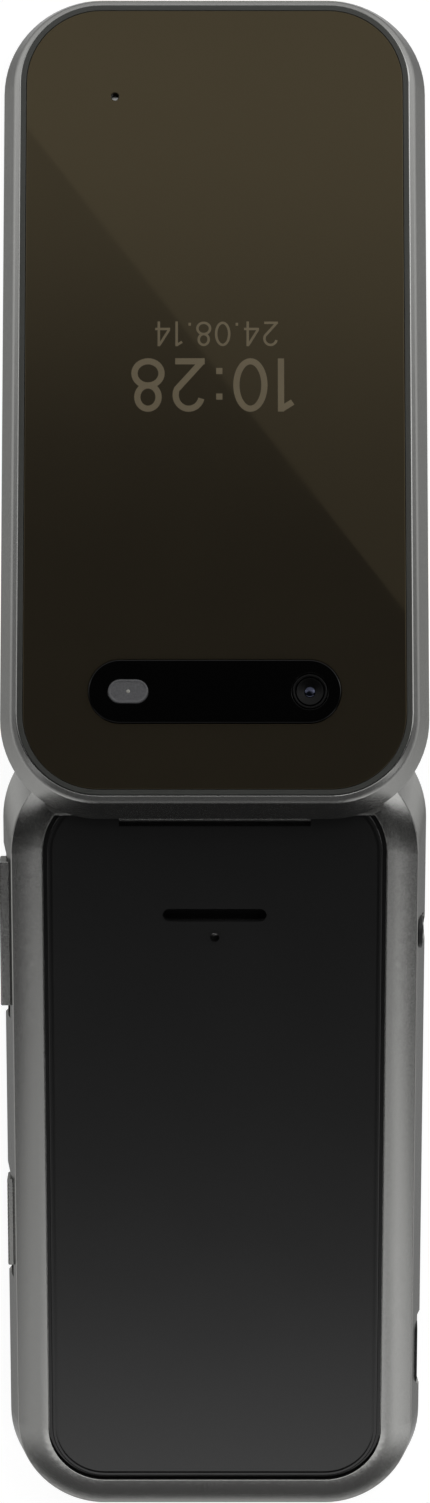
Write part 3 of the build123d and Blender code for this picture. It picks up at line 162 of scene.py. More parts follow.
@dataclass(frozen=True)
class Finish:
    """A surface finish: what it is made of and how it was made.

    Args:
        name: material and making, in plain words.
        colour: main colour as sRGB hex.
        second: colour that the pattern mixes in, as sRGB hex.
        grain: how the pattern is laid.
        grain_mm: size of one grain, flake, thread or scratch.
        roughness: middle roughness.
        spread: how much the pattern changes the roughness.
        bump_mm: height of the pattern.
        metallic: share of metal.
        level: strength of the gloss of a plastic or glass, 0.5 being the usual.
        tint: colour of the gloss as sRGB hex.
        glow: strength of its own light.
    """

    name: str
    colour: str
    second: str
    grain: Grain = Grain.EROSION
    grain_mm: float = 0.2
    roughness: float = 0.45
    spread: float = 0.05
    bump_mm: float = 0.004
    metallic: float = 0.0
    level: float = 0.5
    tint: str = "ffffff"
    glow: float = 0.0

    def pattern(self, tree: Tree, place: Socket) -> Socket:
        """Lay the fine pattern of the finish.

        Args:
            tree: node tree of the material.
            place: socket with the place on the object, in metres.

        Returns:
            Socket with the pattern, from about 0 to 1.
        """
        pitch = 1.0 / (self.grain_mm * MM)
        if self.grain is Grain.FLAKES:
            cells = add_node(tree, "ShaderNodeTexVoronoi", {"Vector": place, "Scale": pitch})
            return add_node(tree, "ShaderNodeSeparateColor", {"Color": cells.outputs["Color"]}).outputs[0]
        if self.grain is Grain.WOVEN:
            threads = {}
            for index, way in enumerate(("X", "Y")):
                wave = add_node(tree, "ShaderNodeTexWave", {"Vector": place, "Scale": pitch / 2},
                                bands_direction=way)
                threads[index] = wave.outputs["Fac"]
            return add_node(tree, "ShaderNodeMath", threads, operation="MULTIPLY").outputs[0]
        stretch = GRAIN_STRETCH.get(self.grain, (1.0, 1.0, 1.0))
        scaled = add_node(tree, "ShaderNodeMapping", {"Vector": place, "Scale": stretch})
        noise = add_node(tree, "ShaderNodeTexNoise",
                         {"Vector": scaled.outputs[0], "Scale": pitch, "Detail": 2.0, "Roughness": 0.6})
        return noise.outputs["Fac"]

    def material(self) -> bpy.types.Material:
        """Build the node material of the finish, or return it if it exists.

        Returns:
            The Blender material.
        """
        made = bpy.data.materials.get(self.name)
        if made:
            return made
        made = bpy.data.materials.new(self.name)
        made.use_nodes = True
        tree = made.node_tree
        place = add_node(tree, "ShaderNodeTexCoord").outputs["Object"]
        grain = self.pattern(tree, place)
        # The clouds are a centimetre or two across, and show in colour and in gloss
        cloud = add_node(tree, "ShaderNodeTexNoise",
                         {"Vector": place, "Scale": CLOUDS_PER_METRE, "Detail": 3.0})
        blend = add_node(tree, "ShaderNodeMix", {"Factor": CLOUD_SHARE, 2: grain, 3: cloud.outputs["Fac"]},
                         data_type="FLOAT")
        mixed = (blend.outputs[0], *PATTERN_ENDS)
        share = add_node(tree, "ShaderNodeMapRange", dict(zip(RANGE, mixed)))
        colour = add_node(tree, "ShaderNodeMix",
                          {"Factor": share.outputs[0], 6: linear(self.colour), 7: linear(self.second)},
                          data_type="RGBA")
        low, high = max(self.roughness - self.spread, SMOOTHEST), self.roughness + self.spread
        rough = add_node(tree, "ShaderNodeMapRange", dict(zip(RANGE, (*mixed, low, high))))
        inputs = {"Base Color": colour.outputs[2], "Roughness": rough.outputs[0], "Metallic": self.metallic,
                  "Specular IOR Level": self.level, "Specular Tint": linear(self.tint)}
        if self.bump_mm:
            relief = {"Height": grain, "Distance": self.bump_mm * MM, "Strength": 1.0}
            inputs["Normal"] = add_node(tree, "ShaderNodeBump", relief).outputs[0]
        if self.glow:
            inputs |= {"Emission Color": colour.outputs[2], "Emission Strength": self.glow}
        wire(tree, tree.nodes["Principled BSDF"], inputs)
        return made


# Moulded polycarbonate under silver paint: aluminium flakes give it a fine sparkle
SILVER_PAINT = Finish("polycarbonate_metallic_paint", "979795", "9f9f9d", Grain.FLAKES, 0.13, 0.22, 0.03,
                      0.00005, 0.97, tint="8a8a8a")
# Tinted float glass, polished: deep brown, mirror smooth
OUTER_GLASS = Finish("tinted_glass_polished", "26221b", "28241c", Grain.SMOOTH, 9.0, 0.02, 0.01, 0.0,
                     tint="ffe8b5")
# Black back-printed glass over the camera
BLACK_GLASS = Finish("black_glass_polished", "020202", "030303", Grain.SMOOTH, 9.0, 0.04, 0.01, 0.0,
                     level=0.25)
# Anodised aluminium trim, brushed along the phone
BLACK_TRIM = Finish("anodised_aluminium_brushed", "3c3d3a", "484946", Grain.BRUSHED, 0.06, 0.34, 0.06,
                    0.001, 0.5)
# Polycarbonate cover with a spark-eroded texture: matte, almost black
COVER_PLASTIC = Finish("polycarbonate_spark_eroded", "1d1d1d", "212121", Grain.EROSION, 0.14, 0.13, 0.02,
                       0.0004, level=0.38)
# Polycarbonate with a satin skin, round the keys and the main display
FRONT_PLASTIC = Finish("polycarbonate_satin", "1b1b1d", "212123", Grain.EROSION, 0.15, 0.4, 0.05, 0.003)
# Key caps: hard-coated polycarbonate, a little glossier than the plate
KEY_PLASTIC = Finish("key_polycarbonate_coated", "242528", "292a2d", Grain.EROSION, 0.22, 0.28, 0.04, 0.001)
# Rocking ring: metallic paint
KEY_SILVER = Finish("key_metallic_paint", "8c8c8a", "949492", Grain.FLAKES, 0.13, 0.26, 0.03, 0.0002, 0.95)
# Side keys: the same paint, polished by fingers
SIDE_KEY = Finish("side_key_metallic_paint", "8c8c8a", "949492", Grain.FLAKES, 0.13, 0.24, 0.03, 0.0002,
                  0.95, tint="8a8a8a")
# Coated optical glass: a blue gleam
LENS_GLASS = Finish("coated_optical_glass", "05070b", "090c13", Grain.SMOOTH, 3.0, 0.03, 0.01, 0.0,
                    level=0.8, tint="cdd5ff")
# Turned aluminium, anodised black: fine rings
LENS_METAL = Finish("anodised_aluminium_turned", "020202", "050505", Grain.TURNED, 0.05, 0.35, 0.05, 0.001,
                    0.3, level=0.2)
# Frosted acrylic over the flash lamp
FLASH_PLASTIC = Finish("frosted_acrylic", "444446", "5e5e60", Grain.EROSION, 0.25, 0.32, 0.08, 0.01)
FLASH_DOME = Finish("clear_acrylic", "8d8c86", "a3a29b", Grain.SMOOTH, 0.6, 0.06, 0.02, 0.0)
# Glass over the main display
DISPLAY_GLASS = Finish("display_glass_polished", "040405", "060608", Grain.SMOOTH, 9.0, 0.04, 0.01, 0.0)
# Liquid crystal cell, switched off
DISPLAY_PANEL = Finish("liquid_crystal_panel", "101218", "14171f", Grain.SMOOTH, 4.0, 0.2, 0.02, 0.0)
# The lit picture of the main display: a plain deep blue
DISPLAY_PICTURE = Finish("liquid_crystal_picture", "10202c", "1d3d52", Grain.SMOOTH, 30.0, 0.12, 0.02, 0.0,
                         glow=0.35)
DISPLAY_DIGITS = Finish("liquid_crystal_digits", "c8d4da", "d4dee2", Grain.SMOOTH, 4.0, 0.2, 0.02, 0.0,
                        glow=0.5)
# Outer display through the tinted glass: dim warm segments
OUTER_DIGITS = Finish("liquid_crystal_outer_digits", "675e4d", "6d6452", Grain.SMOOTH, 3.0, 0.12, 0.02, 0.0,
                      tint="ffedc7")
# Screen-printed ink on the keys
LEGEND_INK = Finish("screen_printed_ink", "c9cac8", "d2d3d1", Grain.EROSION, 0.1, 0.5, 0.05, 0.001)
CALL_INK = Finish("screen_printed_green_ink", "3f8f4e", "479a57", Grain.EROSION, 0.1, 0.5, 0.05, 0.001)
END_INK = Finish("screen_printed_red_ink", "a53a33", "b0443c", Grain.EROSION, 0.1, 0.5, 0.05, 0.001)
# Fibreglass board under green solder mask
CIRCUIT = Finish("epoxy_board_solder_mask", "0c3a22", "10482b", Grain.WOVEN, 0.8, 0.4, 0.05, 0.003)
SPRING_STEEL = Finish("spring_steel_stamped", "9b9b98", "a8a8a5", Grain.BRUSHED, 0.1, 0.3, 0.06, 0.001, 0.9)
# Charging socket steel drawn near black: painted shade for the dark inside of the port
PORT_SHADE_STEEL = Finish("steel_painted_port_shade", "161616", "1e1e1e", Grain.BRUSHED, 0.1, 0.4, 0.06, 0.001, 0.5)
SILICONE = Finish("silicone_sheet_moulded", "505052", "58585a", Grain.EROSION, 0.3, 0.6, 0.04)
# Battery: plastic film shrunk round the cell
BATTERY_FILM = Finish("polyester_film_wrap", "1c1c1d", "242425", Grain.SMOOTH, 2.0, 0.35, 0.08, 0.01)
BATTERY_PLATE = Finish("polyester_film_silver", "8f9091", "9a9b9c", Grain.EROSION, 0.3, 0.4, 0.06, 0.002,
                       0.3)
BLACK_PLASTIC = Finish("glass_filled_nylon_moulded", "0d0d0d", "131313", Grain.EROSION, 0.25, 0.5, 0.05)
STEEL = Finish("steel_turned", "8b8b88", "9a9a96", Grain.TURNED, 0.1, 0.28, 0.05, 0.001, 0.9)
CONTACT_GOLD = Finish("gold_plated_bronze", "c7a256", "d1ae63", Grain.BRUSHED, 0.1, 0.25, 0.05, 0.0005,
                      0.95)
# Woven steel gauze, blackened
FINE_MESH = Finish("woven_steel_gauze_black", "010101", "050505", Grain.WOVEN, 0.35, 0.5, 0.1, 0.06,
                   level=0.1)
POLYIMIDE = Finish("polyimide_film", "8a4a10", "945316", Grain.SMOOTH, 0.5, 0.35, 0.04, 0.002)
BUMPER = Finish("rubber_moulded", "0b0b0b", "101010", Grain.EROSION, 0.3, 0.7, 0.04)

SLOT_FINISH = {
    "silver_paint": SILVER_PAINT,
    "outer_glass": OUTER_GLASS,
    "black_glass": BLACK_GLASS,
    "black_trim": BLACK_TRIM,
    "dark_cover": COVER_PLASTIC,
    "front_plastic": FRONT_PLASTIC,
    "key_plastic": KEY_PLASTIC,
    "key_silver": KEY_SILVER,
    "side_key_plastic": SIDE_KEY,
    "lens_glass": LENS_GLASS,
    "lens_metal": LENS_METAL,
    "flash_plastic": FLASH_PLASTIC,
    "display_glass": DISPLAY_GLASS,
    "display_panel": DISPLAY_PANEL,
    "circuit_board": CIRCUIT,
    "spring_steel": SPRING_STEEL,
    "silicone": SILICONE,
    "battery_wrap": BATTERY_FILM,
    "black_plastic": BLACK_PLASTIC,
    "steel": STEEL,
    "contact_gold": CONTACT_GOLD,
    "fine_mesh": FINE_MESH,
    "polyimide": POLYIMIDE,
    "bumper_rubber": BUMPER,
}


def circle_loop(radius: float, centre: Point, steps: int) -> list[Point]:
    """Points round a circle, against the clock."""
    turns = [2 * math.pi * i / steps for i in range(steps)]
    return [(centre[0] + radius * math.cos(t), centre[1] + radius * math.sin(t)) for t in turns]


def arc_loop(centres: list[Point], radius: float, steps: int) -> list[Point]:
    """Points along equal arcs about some centres, against the clock, the first from straight below."""
    loop = []
    for index, (x, y) in enumerate(centres):
        for i in range(steps + 1):
            turn = 2 * math.pi / len(centres) * (index + i / steps) - math.pi / 2
            loop.append((x + radius * math.cos(turn), y + radius * math.sin(turn)))
    return loop


def slot_loop(length: float, breadth: float, centre: Point) -> list[Point]:
    """Points round a slot with round ends that runs along x, against the clock."""
    run, (x, y) = (length - breadth) / 2, centre
    return arc_loop([(x + run, y), (x - run, y)], breadth / 2, 16)


def rounded_loop(size: Point, radius: float, centre: Point) -> list[Point]:
    """Points round a rounded rectangle, against the clock."""
    a, b, (x, y) = size[0] / 2 - radius, size[1] / 2 - radius, centre
    return arc_loop([(x + a, y - b), (x + a, y + b), (x - a, y + b), (x - a, y - b)], radius, 8)


def dome(radius: float, foot: float, edge: float, rise: float, step_deg: int) -> list[Point]:
    """Profile of a dome on a short wall.

    Args:
        radius: radius of the wall.
        foot: depth of its lower end.
        edge: depth of its upper end.
        rise: height of the dome over that.
        step_deg: angle between its points.

    Returns:
        Points of radius and depth.
    """
    turns = [math.radians(t) for t in range(0, 91, step_deg)]
    return [(radius, foot), *((radius * math.cos(t), edge - rise * math.sin(t)) for t in turns)]


def turned(path: list[Point], turn_deg: float, centre: Point) -> list[Point]:
    """Points turned about the origin and then moved to a centre."""
    c, s = math.cos(math.radians(turn_deg)), math.sin(math.radians(turn_deg))
    return [(centre[0] + x * c - y * s, centre[1] + x * s + y * c) for x, y in path]


# Least radius of a turned ring, so that its points stay apart
SMALLEST = 0.001
# A stroke's corner is stretched by up to twice its width, and no further where it folds back
MITRE_FLOOR = 0.1
MITRE_LIMIT = 2.0


@dataclass
class Shape:
    """Mesh under construction, in the millimetres of one half.

    Args:
        name: name of the piece.
        points: its vertices so far.
        faces: its faces so far.
    """

    name: str
    points: list[tuple[float, float, float]] = field(default_factory=list)
    faces: list[tuple[int, ...]] = field(default_factory=list)

    def ring(self, loop: list[Point], z: float) -> list[int]:
        """Add a loop of vertices at one height and return their numbers."""
        start = len(self.points)
        self.points.extend((x, y, z) for x, y in loop)
        return list(range(start, len(self.points)))

    def skin(self, lower: list[int], upper: list[int]) -> None:
        """Join two loops of equal length with quads."""
        count = len(lower)
        for i in range(count):
            j = (i + 1) % count
            self.faces.append((lower[i], lower[j], upper[j], upper[i]))

    def stack(self, sections: list[tuple[list[Point], float]], hollow: bool = False) -> None:
        """Skin a stack of loops in their order.

        Args:
            sections: loops with their heights, all with the same number of points.
            hollow: whether the last is joined to the first, as for a ring, with no end faces.
        """
        rings = [self.ring(loop, z) for loop, z in sections]
        for lower, upper in zip(rings, rings[1:]):
            self.skin(lower, upper)
        if hollow:
            self.skin(rings[-1], rings[0])
        else:
            self.faces += [tuple(reversed(rings[0])), tuple(rings[-1])]

    def bar(self, path: list[Point], width: float, low: float, high: float) -> None:
        """Lay a flat stroke along a path, as printed lettering has it.

        Args:
            path: points along its middle.
            width: width of the stroke.
            low: lower height.
            high: upper height.
        """
        closed = len(path) > 2 and math.dist(path[0], path[-1]) < 1e-6
        spine = path[:-1] if closed else path
        left, right = [], []
        for i, (x, y) in enumerate(spine):
            before = spine[i - 1] if i or closed else spine[i]
            after = spine[(i + 1) % len(spine)] if i + 1 < len(spine) or closed else spine[i]
            dx, dy = after[0] - before[0], after[1] - before[1]
            size = math.hypot(dx, dy)
            ahead = math.hypot(after[0] - x, after[1] - y)
            behind = math.hypot(x - before[0], y - before[1])
            stretch = 1.0
            if ahead and behind:
                bend = (after[0] - x) * (x - before[0]) + (after[1] - y) * (y - before[1])
                bend /= ahead * behind
                stretch = min(1.0 / math.sqrt(max((1 + bend) / 2, MITRE_FLOOR)), MITRE_LIMIT)
            nx, ny = -dy / size * width / 2 * stretch, dx / size * width / 2 * stretch
            left.append((x + nx, y + ny))
            right.append((x - nx, y - ny))
        rows = [self.ring(side, z) for side, z in ((right, low), (right, high), (left, high), (left, low))]
        last = len(spine) if closed else len(spine) - 1
        for i in range(last):
            j = (i + 1) % len(spine)
            for a, b in zip(rows, rows[1:] + rows[:1]):
                self.faces.append((a[i], a[j], b[j], b[i]))
        if not closed:
            self.faces.append(tuple(row[0] for row in rows))
            self.faces.append(tuple(row[-1] for row in reversed(rows)))

    def build(self, half: Half, finish: Finish, slot: str, body: str, replaces: tuple[str, ...] = (),
              smooth: bool = True) -> None:
        """Make the piece, place it and let it ride on its body.

        Args:
            half: half whose millimetres the points are in.
            finish: finish of the piece.
            slot: material slot of the record, not used.
            body: CAD body that carries it.
            replaces: CAD nodes that it stands for.
            smooth: whether its faces are shaded as one smooth skin.
        """
        mesh = bpy.data.meshes.new(self.name)
        mesh.from_pydata(self.points, [], self.faces)
        mesh.transform(half.matrix())
        mesh.update()
        mesh.polygons.foreach_set("use_smooth", [smooth] * len(mesh.polygons))
        mesh.materials.append(finish.material())
        piece = bpy.data.objects.new(self.name, mesh)
        bpy.context.scene.collection.objects.link(piece)
        if smooth:
            weigh_normals(piece)
        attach(piece, body)
        if replaces:
            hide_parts(*replaces)
        log.info("%s: %s on %s", self.name, finish.name, body)


def weigh_normals(piece: bpy.types.Object) -> None:
    """Let flat faces stay flat in the shading, and roundings stay smooth."""
    weighted = piece.modifiers.new("weighted_normals", "WEIGHTED_NORMAL")
    weighted.mode = "FACE_AREA"
    weighted.weight = 100


@dataclass(frozen=True)
class EdgeRounding:
    """Rounding of the edges of a CAD node, added by modifiers.

    Args:
        width_mm: width of the rounding.
        segments: faces across it.
        angle_deg: edges that turn less than this stay as they are.
        weld_mm: points closer than this are joined first.
        flat_deg: neighbours that turn less than this become one face first.
    """

    width_mm: float
    segments: int = 3
    angle_deg: float = 15.0
    weld_mm: float = 0.002
    flat_deg: float = 0.6

    def apply(self, node: bpy.types.Object) -> None:
        """Add the modifiers to a CAD node."""
        node.data.polygons.foreach_set("use_smooth", [True] * len(node.data.polygons))
        weld = node.modifiers.new("weld", "WELD")
        weld.merge_threshold = self.weld_mm * MM
        flat = node.modifiers.new("flat_faces", "DECIMATE")
        flat.decimate_type = "DISSOLVE"
        flat.angle_limit = math.radians(self.flat_deg)
        bevel = node.modifiers.new("edge_rounding", "BEVEL")
        bevel.width = self.width_mm * MM
        bevel.segments = self.segments
        bevel.limit_method = "ANGLE"
        bevel.angle_limit = math.radians(self.angle_deg)
        bevel.use_clamp_overlap = False
        weigh_normals(node)


# Number keys in the order of reading
KEY_ORDER = ("1", "2", "3", "4", "5", "6", "7", "8", "9", "star", "0", "hash")
NODE_ROUNDING = {
    "glass_trim": EdgeRounding(0.06, 2),
    "cover_glass": EdgeRounding(0.1),
    "camera_window": EdgeRounding(0.04, 2),
    "main_display_window": EdgeRounding(0.06, 2),
    "volume_key": EdgeRounding(0.12),
    "battery": EdgeRounding(0.25),
    "nav_ring": EdgeRounding(0.3),
    "select_key": EdgeRounding(0.3),
    "audio_jack": EdgeRounding(0.1, 2),
    "usb_socket": EdgeRounding(0.06, 2),
}
KEY_NODES = [f"key_{name}" for name in KEY_ORDER]
KEY_NODES += ["soft_key_left", "soft_key_right", "call_key", "end_key"]
NODE_ROUNDING |= dict.fromkeys(KEY_NODES, EdgeRounding(0.3))
# Nodes whose finish differs from their slot's: the charging socket's steel is drawn near black, as painted shade
# for the inside of the port
NODE_FINISH = {"usb_socket": PORT_SHADE_STEEL}


def dress_nodes() -> None:
    """Give every CAD node the finish of its material slot, and rounded edges where they show."""
    for entry in frame["record"]["subparts"]:
        name = entry["node"]
        node = frame["nodes"][name]
        finish = NODE_FINISH.get(name, SLOT_FINISH[entry["material_slot"]])
        node.data.materials.clear()
        node.data.materials.append(finish.material())
        if name in NODE_ROUNDING:
            NODE_ROUNDING[name].apply(node)
        log.info("%s: %s", name, finish.name)


def arc(centre: Point, radius: Point, start_deg: float, end_deg: float, steps: int = 20) -> list[Point]:
    """Points along an arc of an ellipse."""
    turns = [math.radians(start_deg + (end_deg - start_deg) * i / steps) for i in range(steps + 1)]
    return [(centre[0] + radius[0] * math.cos(t), centre[1] + radius[1] * math.sin(t)) for t in turns]


# How much thicker each further stroke of a numeral is, so that crossing faces never coincide
STROKE_STEP = 0.002
# Strokes of the plain numerals, one unit high, with their widths
NUMERALS: dict[str, tuple[float, list[list[Point]]]] = {
    "0": (0.58, [arc((0.29, 0.5), (0.29, 0.5), 90, 450, 40)]),
    "1": (0.3, [[(0.0, 0.86), (0.22, 1.0)], [(0.24, 1.06), (0.24, -0.06)]]),
    "2": (0.56, [arc((0.28, 0.71), (0.27, 0.29), 165, -25) + [(0.0, 0.0)], [(-0.05, 0.0), (0.56, 0.0)]]),
    "3": (0.56, [arc((0.27, 0.755), (0.24, 0.245), 155, -90), arc((0.27, 0.255), (0.28, 0.255), 90, -155)]),
    "4": (0.6, [[(0.46, -0.06), (0.46, 1.06)], [(0.43, 1.0), (0.0, 0.3)], [(-0.04, 0.28), (0.62, 0.28)]]),
    "5": (0.56, [[(0.52, 1.0), (0.1, 1.0), (0.06, 0.56)] + arc((0.27, 0.32), (0.28, 0.32), 128, -150)]),
    "6": (0.58, [arc((0.29, 0.31), (0.28, 0.31), 0, 360, 32),
                 arc((0.5, 0.31), (0.49, 0.69), 180, 100, 12)]),
    "7": (0.56, [[(0.0, 1.0), (0.6, 1.0)], [(0.55, 1.0), (0.2, -0.06)]]),
    "8": (0.56, [arc((0.28, 0.755), (0.22, 0.245), -90, 270, 32),
                 arc((0.28, 0.255), (0.28, 0.255), 90, 450, 32)]),
    "9": (0.58, [arc((0.29, 0.69), (0.28, 0.31), 0, 360, 32), arc((0.08, 0.69), (0.49, 0.69), 0, -80, 12)]),
    ":": (0.14, [[(0.07, 0.14), (0.07, 0.27)], [(0.07, 0.68), (0.07, 0.81)]]),
    ".": (0.14, [[(0.07, 0.0), (0.07, 0.13)]]),
    "*": (0.5, [[(0.25, 0.25), (0.25, 0.85)], [(0.0, 0.4), (0.5, 0.7)], [(0.0, 0.7), (0.5, 0.4)]]),
    "#": (0.6, [[(0.14, 0.05), (0.24, 0.95)], [(0.38, 0.05), (0.48, 0.95)], [(0.0, 0.34), (0.6, 0.34)],
                [(0.02, 0.68), (0.62, 0.68)]]),
}


@dataclass(frozen=True)
class Lettering:
    """A line of plain numerals.

    Args:
        text: characters of NUMERALS.
        height: height in millimetres.
        stroke: width of the strokes.
        spacing: gap between characters.
        centre: middle of the line in the half's own plane.
        flipped: whether it reads from the hinge end, turned by half a turn.
        mirrored: whether it is read from the inner face.
    """

    text: str
    height: float
    stroke: float
    spacing: float
    centre: Point
    flipped: bool = False
    mirrored: bool = False

    def draw(self, shape: Shape, low: float, high: float) -> None:
        """Lay the strokes into a shape between two heights."""
        widths = [NUMERALS[c][0] * self.height for c in self.text]
        total = sum(widths) + self.spacing * (len(self.text) - 1)
        turn_x = -1 if self.flipped != self.mirrored else 1
        turn_y = -1 if self.flipped else 1
        start = -total / 2
        for character, width in zip(self.text, widths):
            for index, path in enumerate(NUMERALS[character][1]):
                spots = [
                    (self.centre[0] + turn_x * (start + x * self.height),
                     self.centre[1] + turn_y * (y - 0.5) * self.height)
                    for x, y in path
                ]
                step = index * STROKE_STEP
                shape.bar(spots, self.stroke, low - step, high + step)
            start += width + self.spacing


@dataclass
class OuterFace:
    """What shows in and through the outer glass of the lid.

    Args:
        half: the lid.
        glass: height of the glass face.
        ink: thickness of the numerals.
        time_line: numerals of the clock.
        date_line: numerals of the date.
    """

    half: Half
    glass: float = 12.35
    ink: float = 0.012
    time_line: Lettering = Lettering("10:28", 6.2, 0.8, 1.75, (-0.15, 48.5), flipped=True)
    date_line: Lettering = Lettering("24.08.14", 2.9, 0.32, 0.78, (0.2, 55.2), flipped=True)

    def build(self) -> None:
        """Build the numerals of the outer display."""
        for name, line in (("clock", self.time_line), ("date", self.date_line)):
            shape = Shape(f"outer_{name}_numerals")
            line.draw(shape, self.glass, self.glass + self.ink)
            shape.build(self.half, OUTER_DIGITS, "outer_glass", "lid", smooth=False)


@dataclass
class CameraGroup:
    """Camera lens, its collar and the flash in the long black window.

    Profiles are points of radius and depth, and depths count from the window's face.

    Args:
        half: the lid.
        top: height of the window's face.
        lens_centre: place of the lens.
        flash_centre: place of the flash.
        collar: profile of the ring round the lens, from its foot over its rounded edge to its slope.
        cone: profile of the stepped cone, from its foot inwards.
        pupil: radius of the small front lens, depths of its foot and edge, and its rise.
        flash_size: length and width of the flash.
        flash_steps: what these lose at each step of its rounded edge and sunk face, and the depth.
        lamp: radius of the small dome over the lamp, depths of its foot and edge, and its rise.
    """

    half: Half
    top: float = 12.7
    lens_centre: Point = (12.08, 8.8)
    flash_centre: Point = (-10.97, 8.8)
    collar: tuple[Point, ...] = ((2.2, 1.25), (2.2, 0.08), (2.1733, 0.0267), (2.12, 0.0), (2.02, 0.0),
                                 (1.96, 0.03), (1.82, 0.3), (1.8, 0.34), (1.8, 1.25))
    cone: tuple[Point, ...] = ((1.75, 1.25), (1.75, 0.3), (1.65, 0.3), (1.431, 0.39), (1.371, 0.39),
                               (1.152, 0.48), (1.092, 0.48), (0.873, 0.57), (0.813, 0.57), (0.72, 0.65))
    pupil: tuple[float, ...] = (0.72, 0.9, 0.68, 0.26)
    flash_size: Point = (5.1, 3.05)
    flash_steps: tuple[Point, ...] = ((0.0, 1.25), (0.0, 0.08), (0.04, 0.0267), (0.16, 0.0), (0.6, 0.0),
                                      (0.7, 0.04))
    lamp: tuple[float, ...] = (0.24, 0.2, 0.05, 0.05)

    def turn(self, name: str, profile: tuple[Point, ...] | list[Point], centre: Point, steps: int = 48,
             hollow: bool = False) -> Shape:
        """Shape of a piece whose profile is turned about a centre."""
        shape = Shape(name)
        rings = [(circle_loop(max(r, SMALLEST), centre, steps), self.top - depth) for r, depth in profile]
        shape.stack(rings, hollow)
        return shape

    def build(self) -> None:
        """Build the collar, the stepped black cone with its front lens, and the frosted flash."""
        collar = self.turn("lens_collar", self.collar, self.lens_centre, hollow=True)
        collar.build(self.half, LENS_METAL, "lens_metal", "lid", ("camera_lens_ring",))
        cone = self.turn("lens_cone", self.cone, self.lens_centre)
        cone.build(self.half, LENS_METAL, "lens_metal", "lid")
        front = self.turn("lens_front", dome(*self.pupil, 9), self.lens_centre)
        front.build(self.half, LENS_GLASS, "lens_glass", "lid", ("camera_lens",))
        window = Shape("flash_window")
        length, breadth = self.flash_size
        window.stack([
            (slot_loop(length - loss, breadth - loss, self.flash_centre), self.top - depth)
            for loss, depth in self.flash_steps
        ])
        window.build(self.half, FLASH_PLASTIC, "flash_plastic", "lid", ("flash_lens",))
        lamp = self.turn("flash_dome", dome(*self.lamp, 15), self.flash_centre, 32)
        lamp.build(self.half, FLASH_DOME, "flash_plastic", "lid")


@dataclass
class MainDisplay:
    """Picture of the main display, laid under the face of its window.

    Args:
        half: the lid.
        face: height of the window's outer face.
        lit: size, corner radius and place of the lit picture.
        film: thickness of the picture.
        clock: numerals of the clock.
        bar: x, foot and head of the first signal bar.
        bar_step: signal bars apart, and how much taller each further one is.
        cell: size, corner radius and place of the battery mark.
        tile: size and corner radius of the four tiles.
        tile_row: tiles apart, and y of their row.
        strokes: widths of the bars and of the lines of the battery mark and the tiles.
    """

    half: Half
    face: float = 5.1
    lit: tuple[Point, float, Point] = ((43.2, 57.6), 0.3, (0.0, 50.0))
    film: float = 0.02
    clock: Lettering = Lettering("10:28", 8.0, 0.8, 1.3, (0.0, 64.0), mirrored=True)
    bar: tuple[float, ...] = (19.4, 75.7, 76.1)
    bar_step: Point = (0.9, 0.3)
    cell: tuple[Point, float, Point] = ((3.0, 1.4), 0.2, (-18.1, 76.4))
    tile: tuple[Point, float] = ((5.6, 5.6), 1.2)
    tile_row: Point = (9.0, 30.0)
    strokes: tuple[float, ...] = (0.5, 0.25, 0.3)

    def build(self) -> None:
        """Build the picture and its numerals and marks."""
        low, high = self.face - 2 * self.film, self.face - self.film
        picture = Shape("main_display_picture")
        loop = rounded_loop(*self.lit)
        picture.stack([(loop, high), (loop, self.face)])
        picture.build(self.half, DISPLAY_PICTURE, "display_panel", "lid", smooth=False)
        digits = Shape("main_display_numerals")
        self.clock.draw(digits, low, high)
        (x, foot, head), (pitch, growth) = self.bar, self.bar_step
        bar_stroke, cell_stroke, tile_stroke = self.strokes
        for index in range(4):
            spot = x - index * pitch
            digits.bar([(spot, foot), (spot, head + index * growth)], bar_stroke, low, high)
        loops = [(rounded_loop(*self.cell), cell_stroke)]
        for index in range(4):
            spot = ((index - 1.5) * self.tile_row[0], self.tile_row[1])
            loops.append((rounded_loop(*self.tile, spot), tile_stroke))
        for loop, stroke in loops:
            digits.bar([*loop, loop[0]], stroke, low, high)
        digits.build(self.half, DISPLAY_DIGITS, "display_panel", "lid", smooth=False)


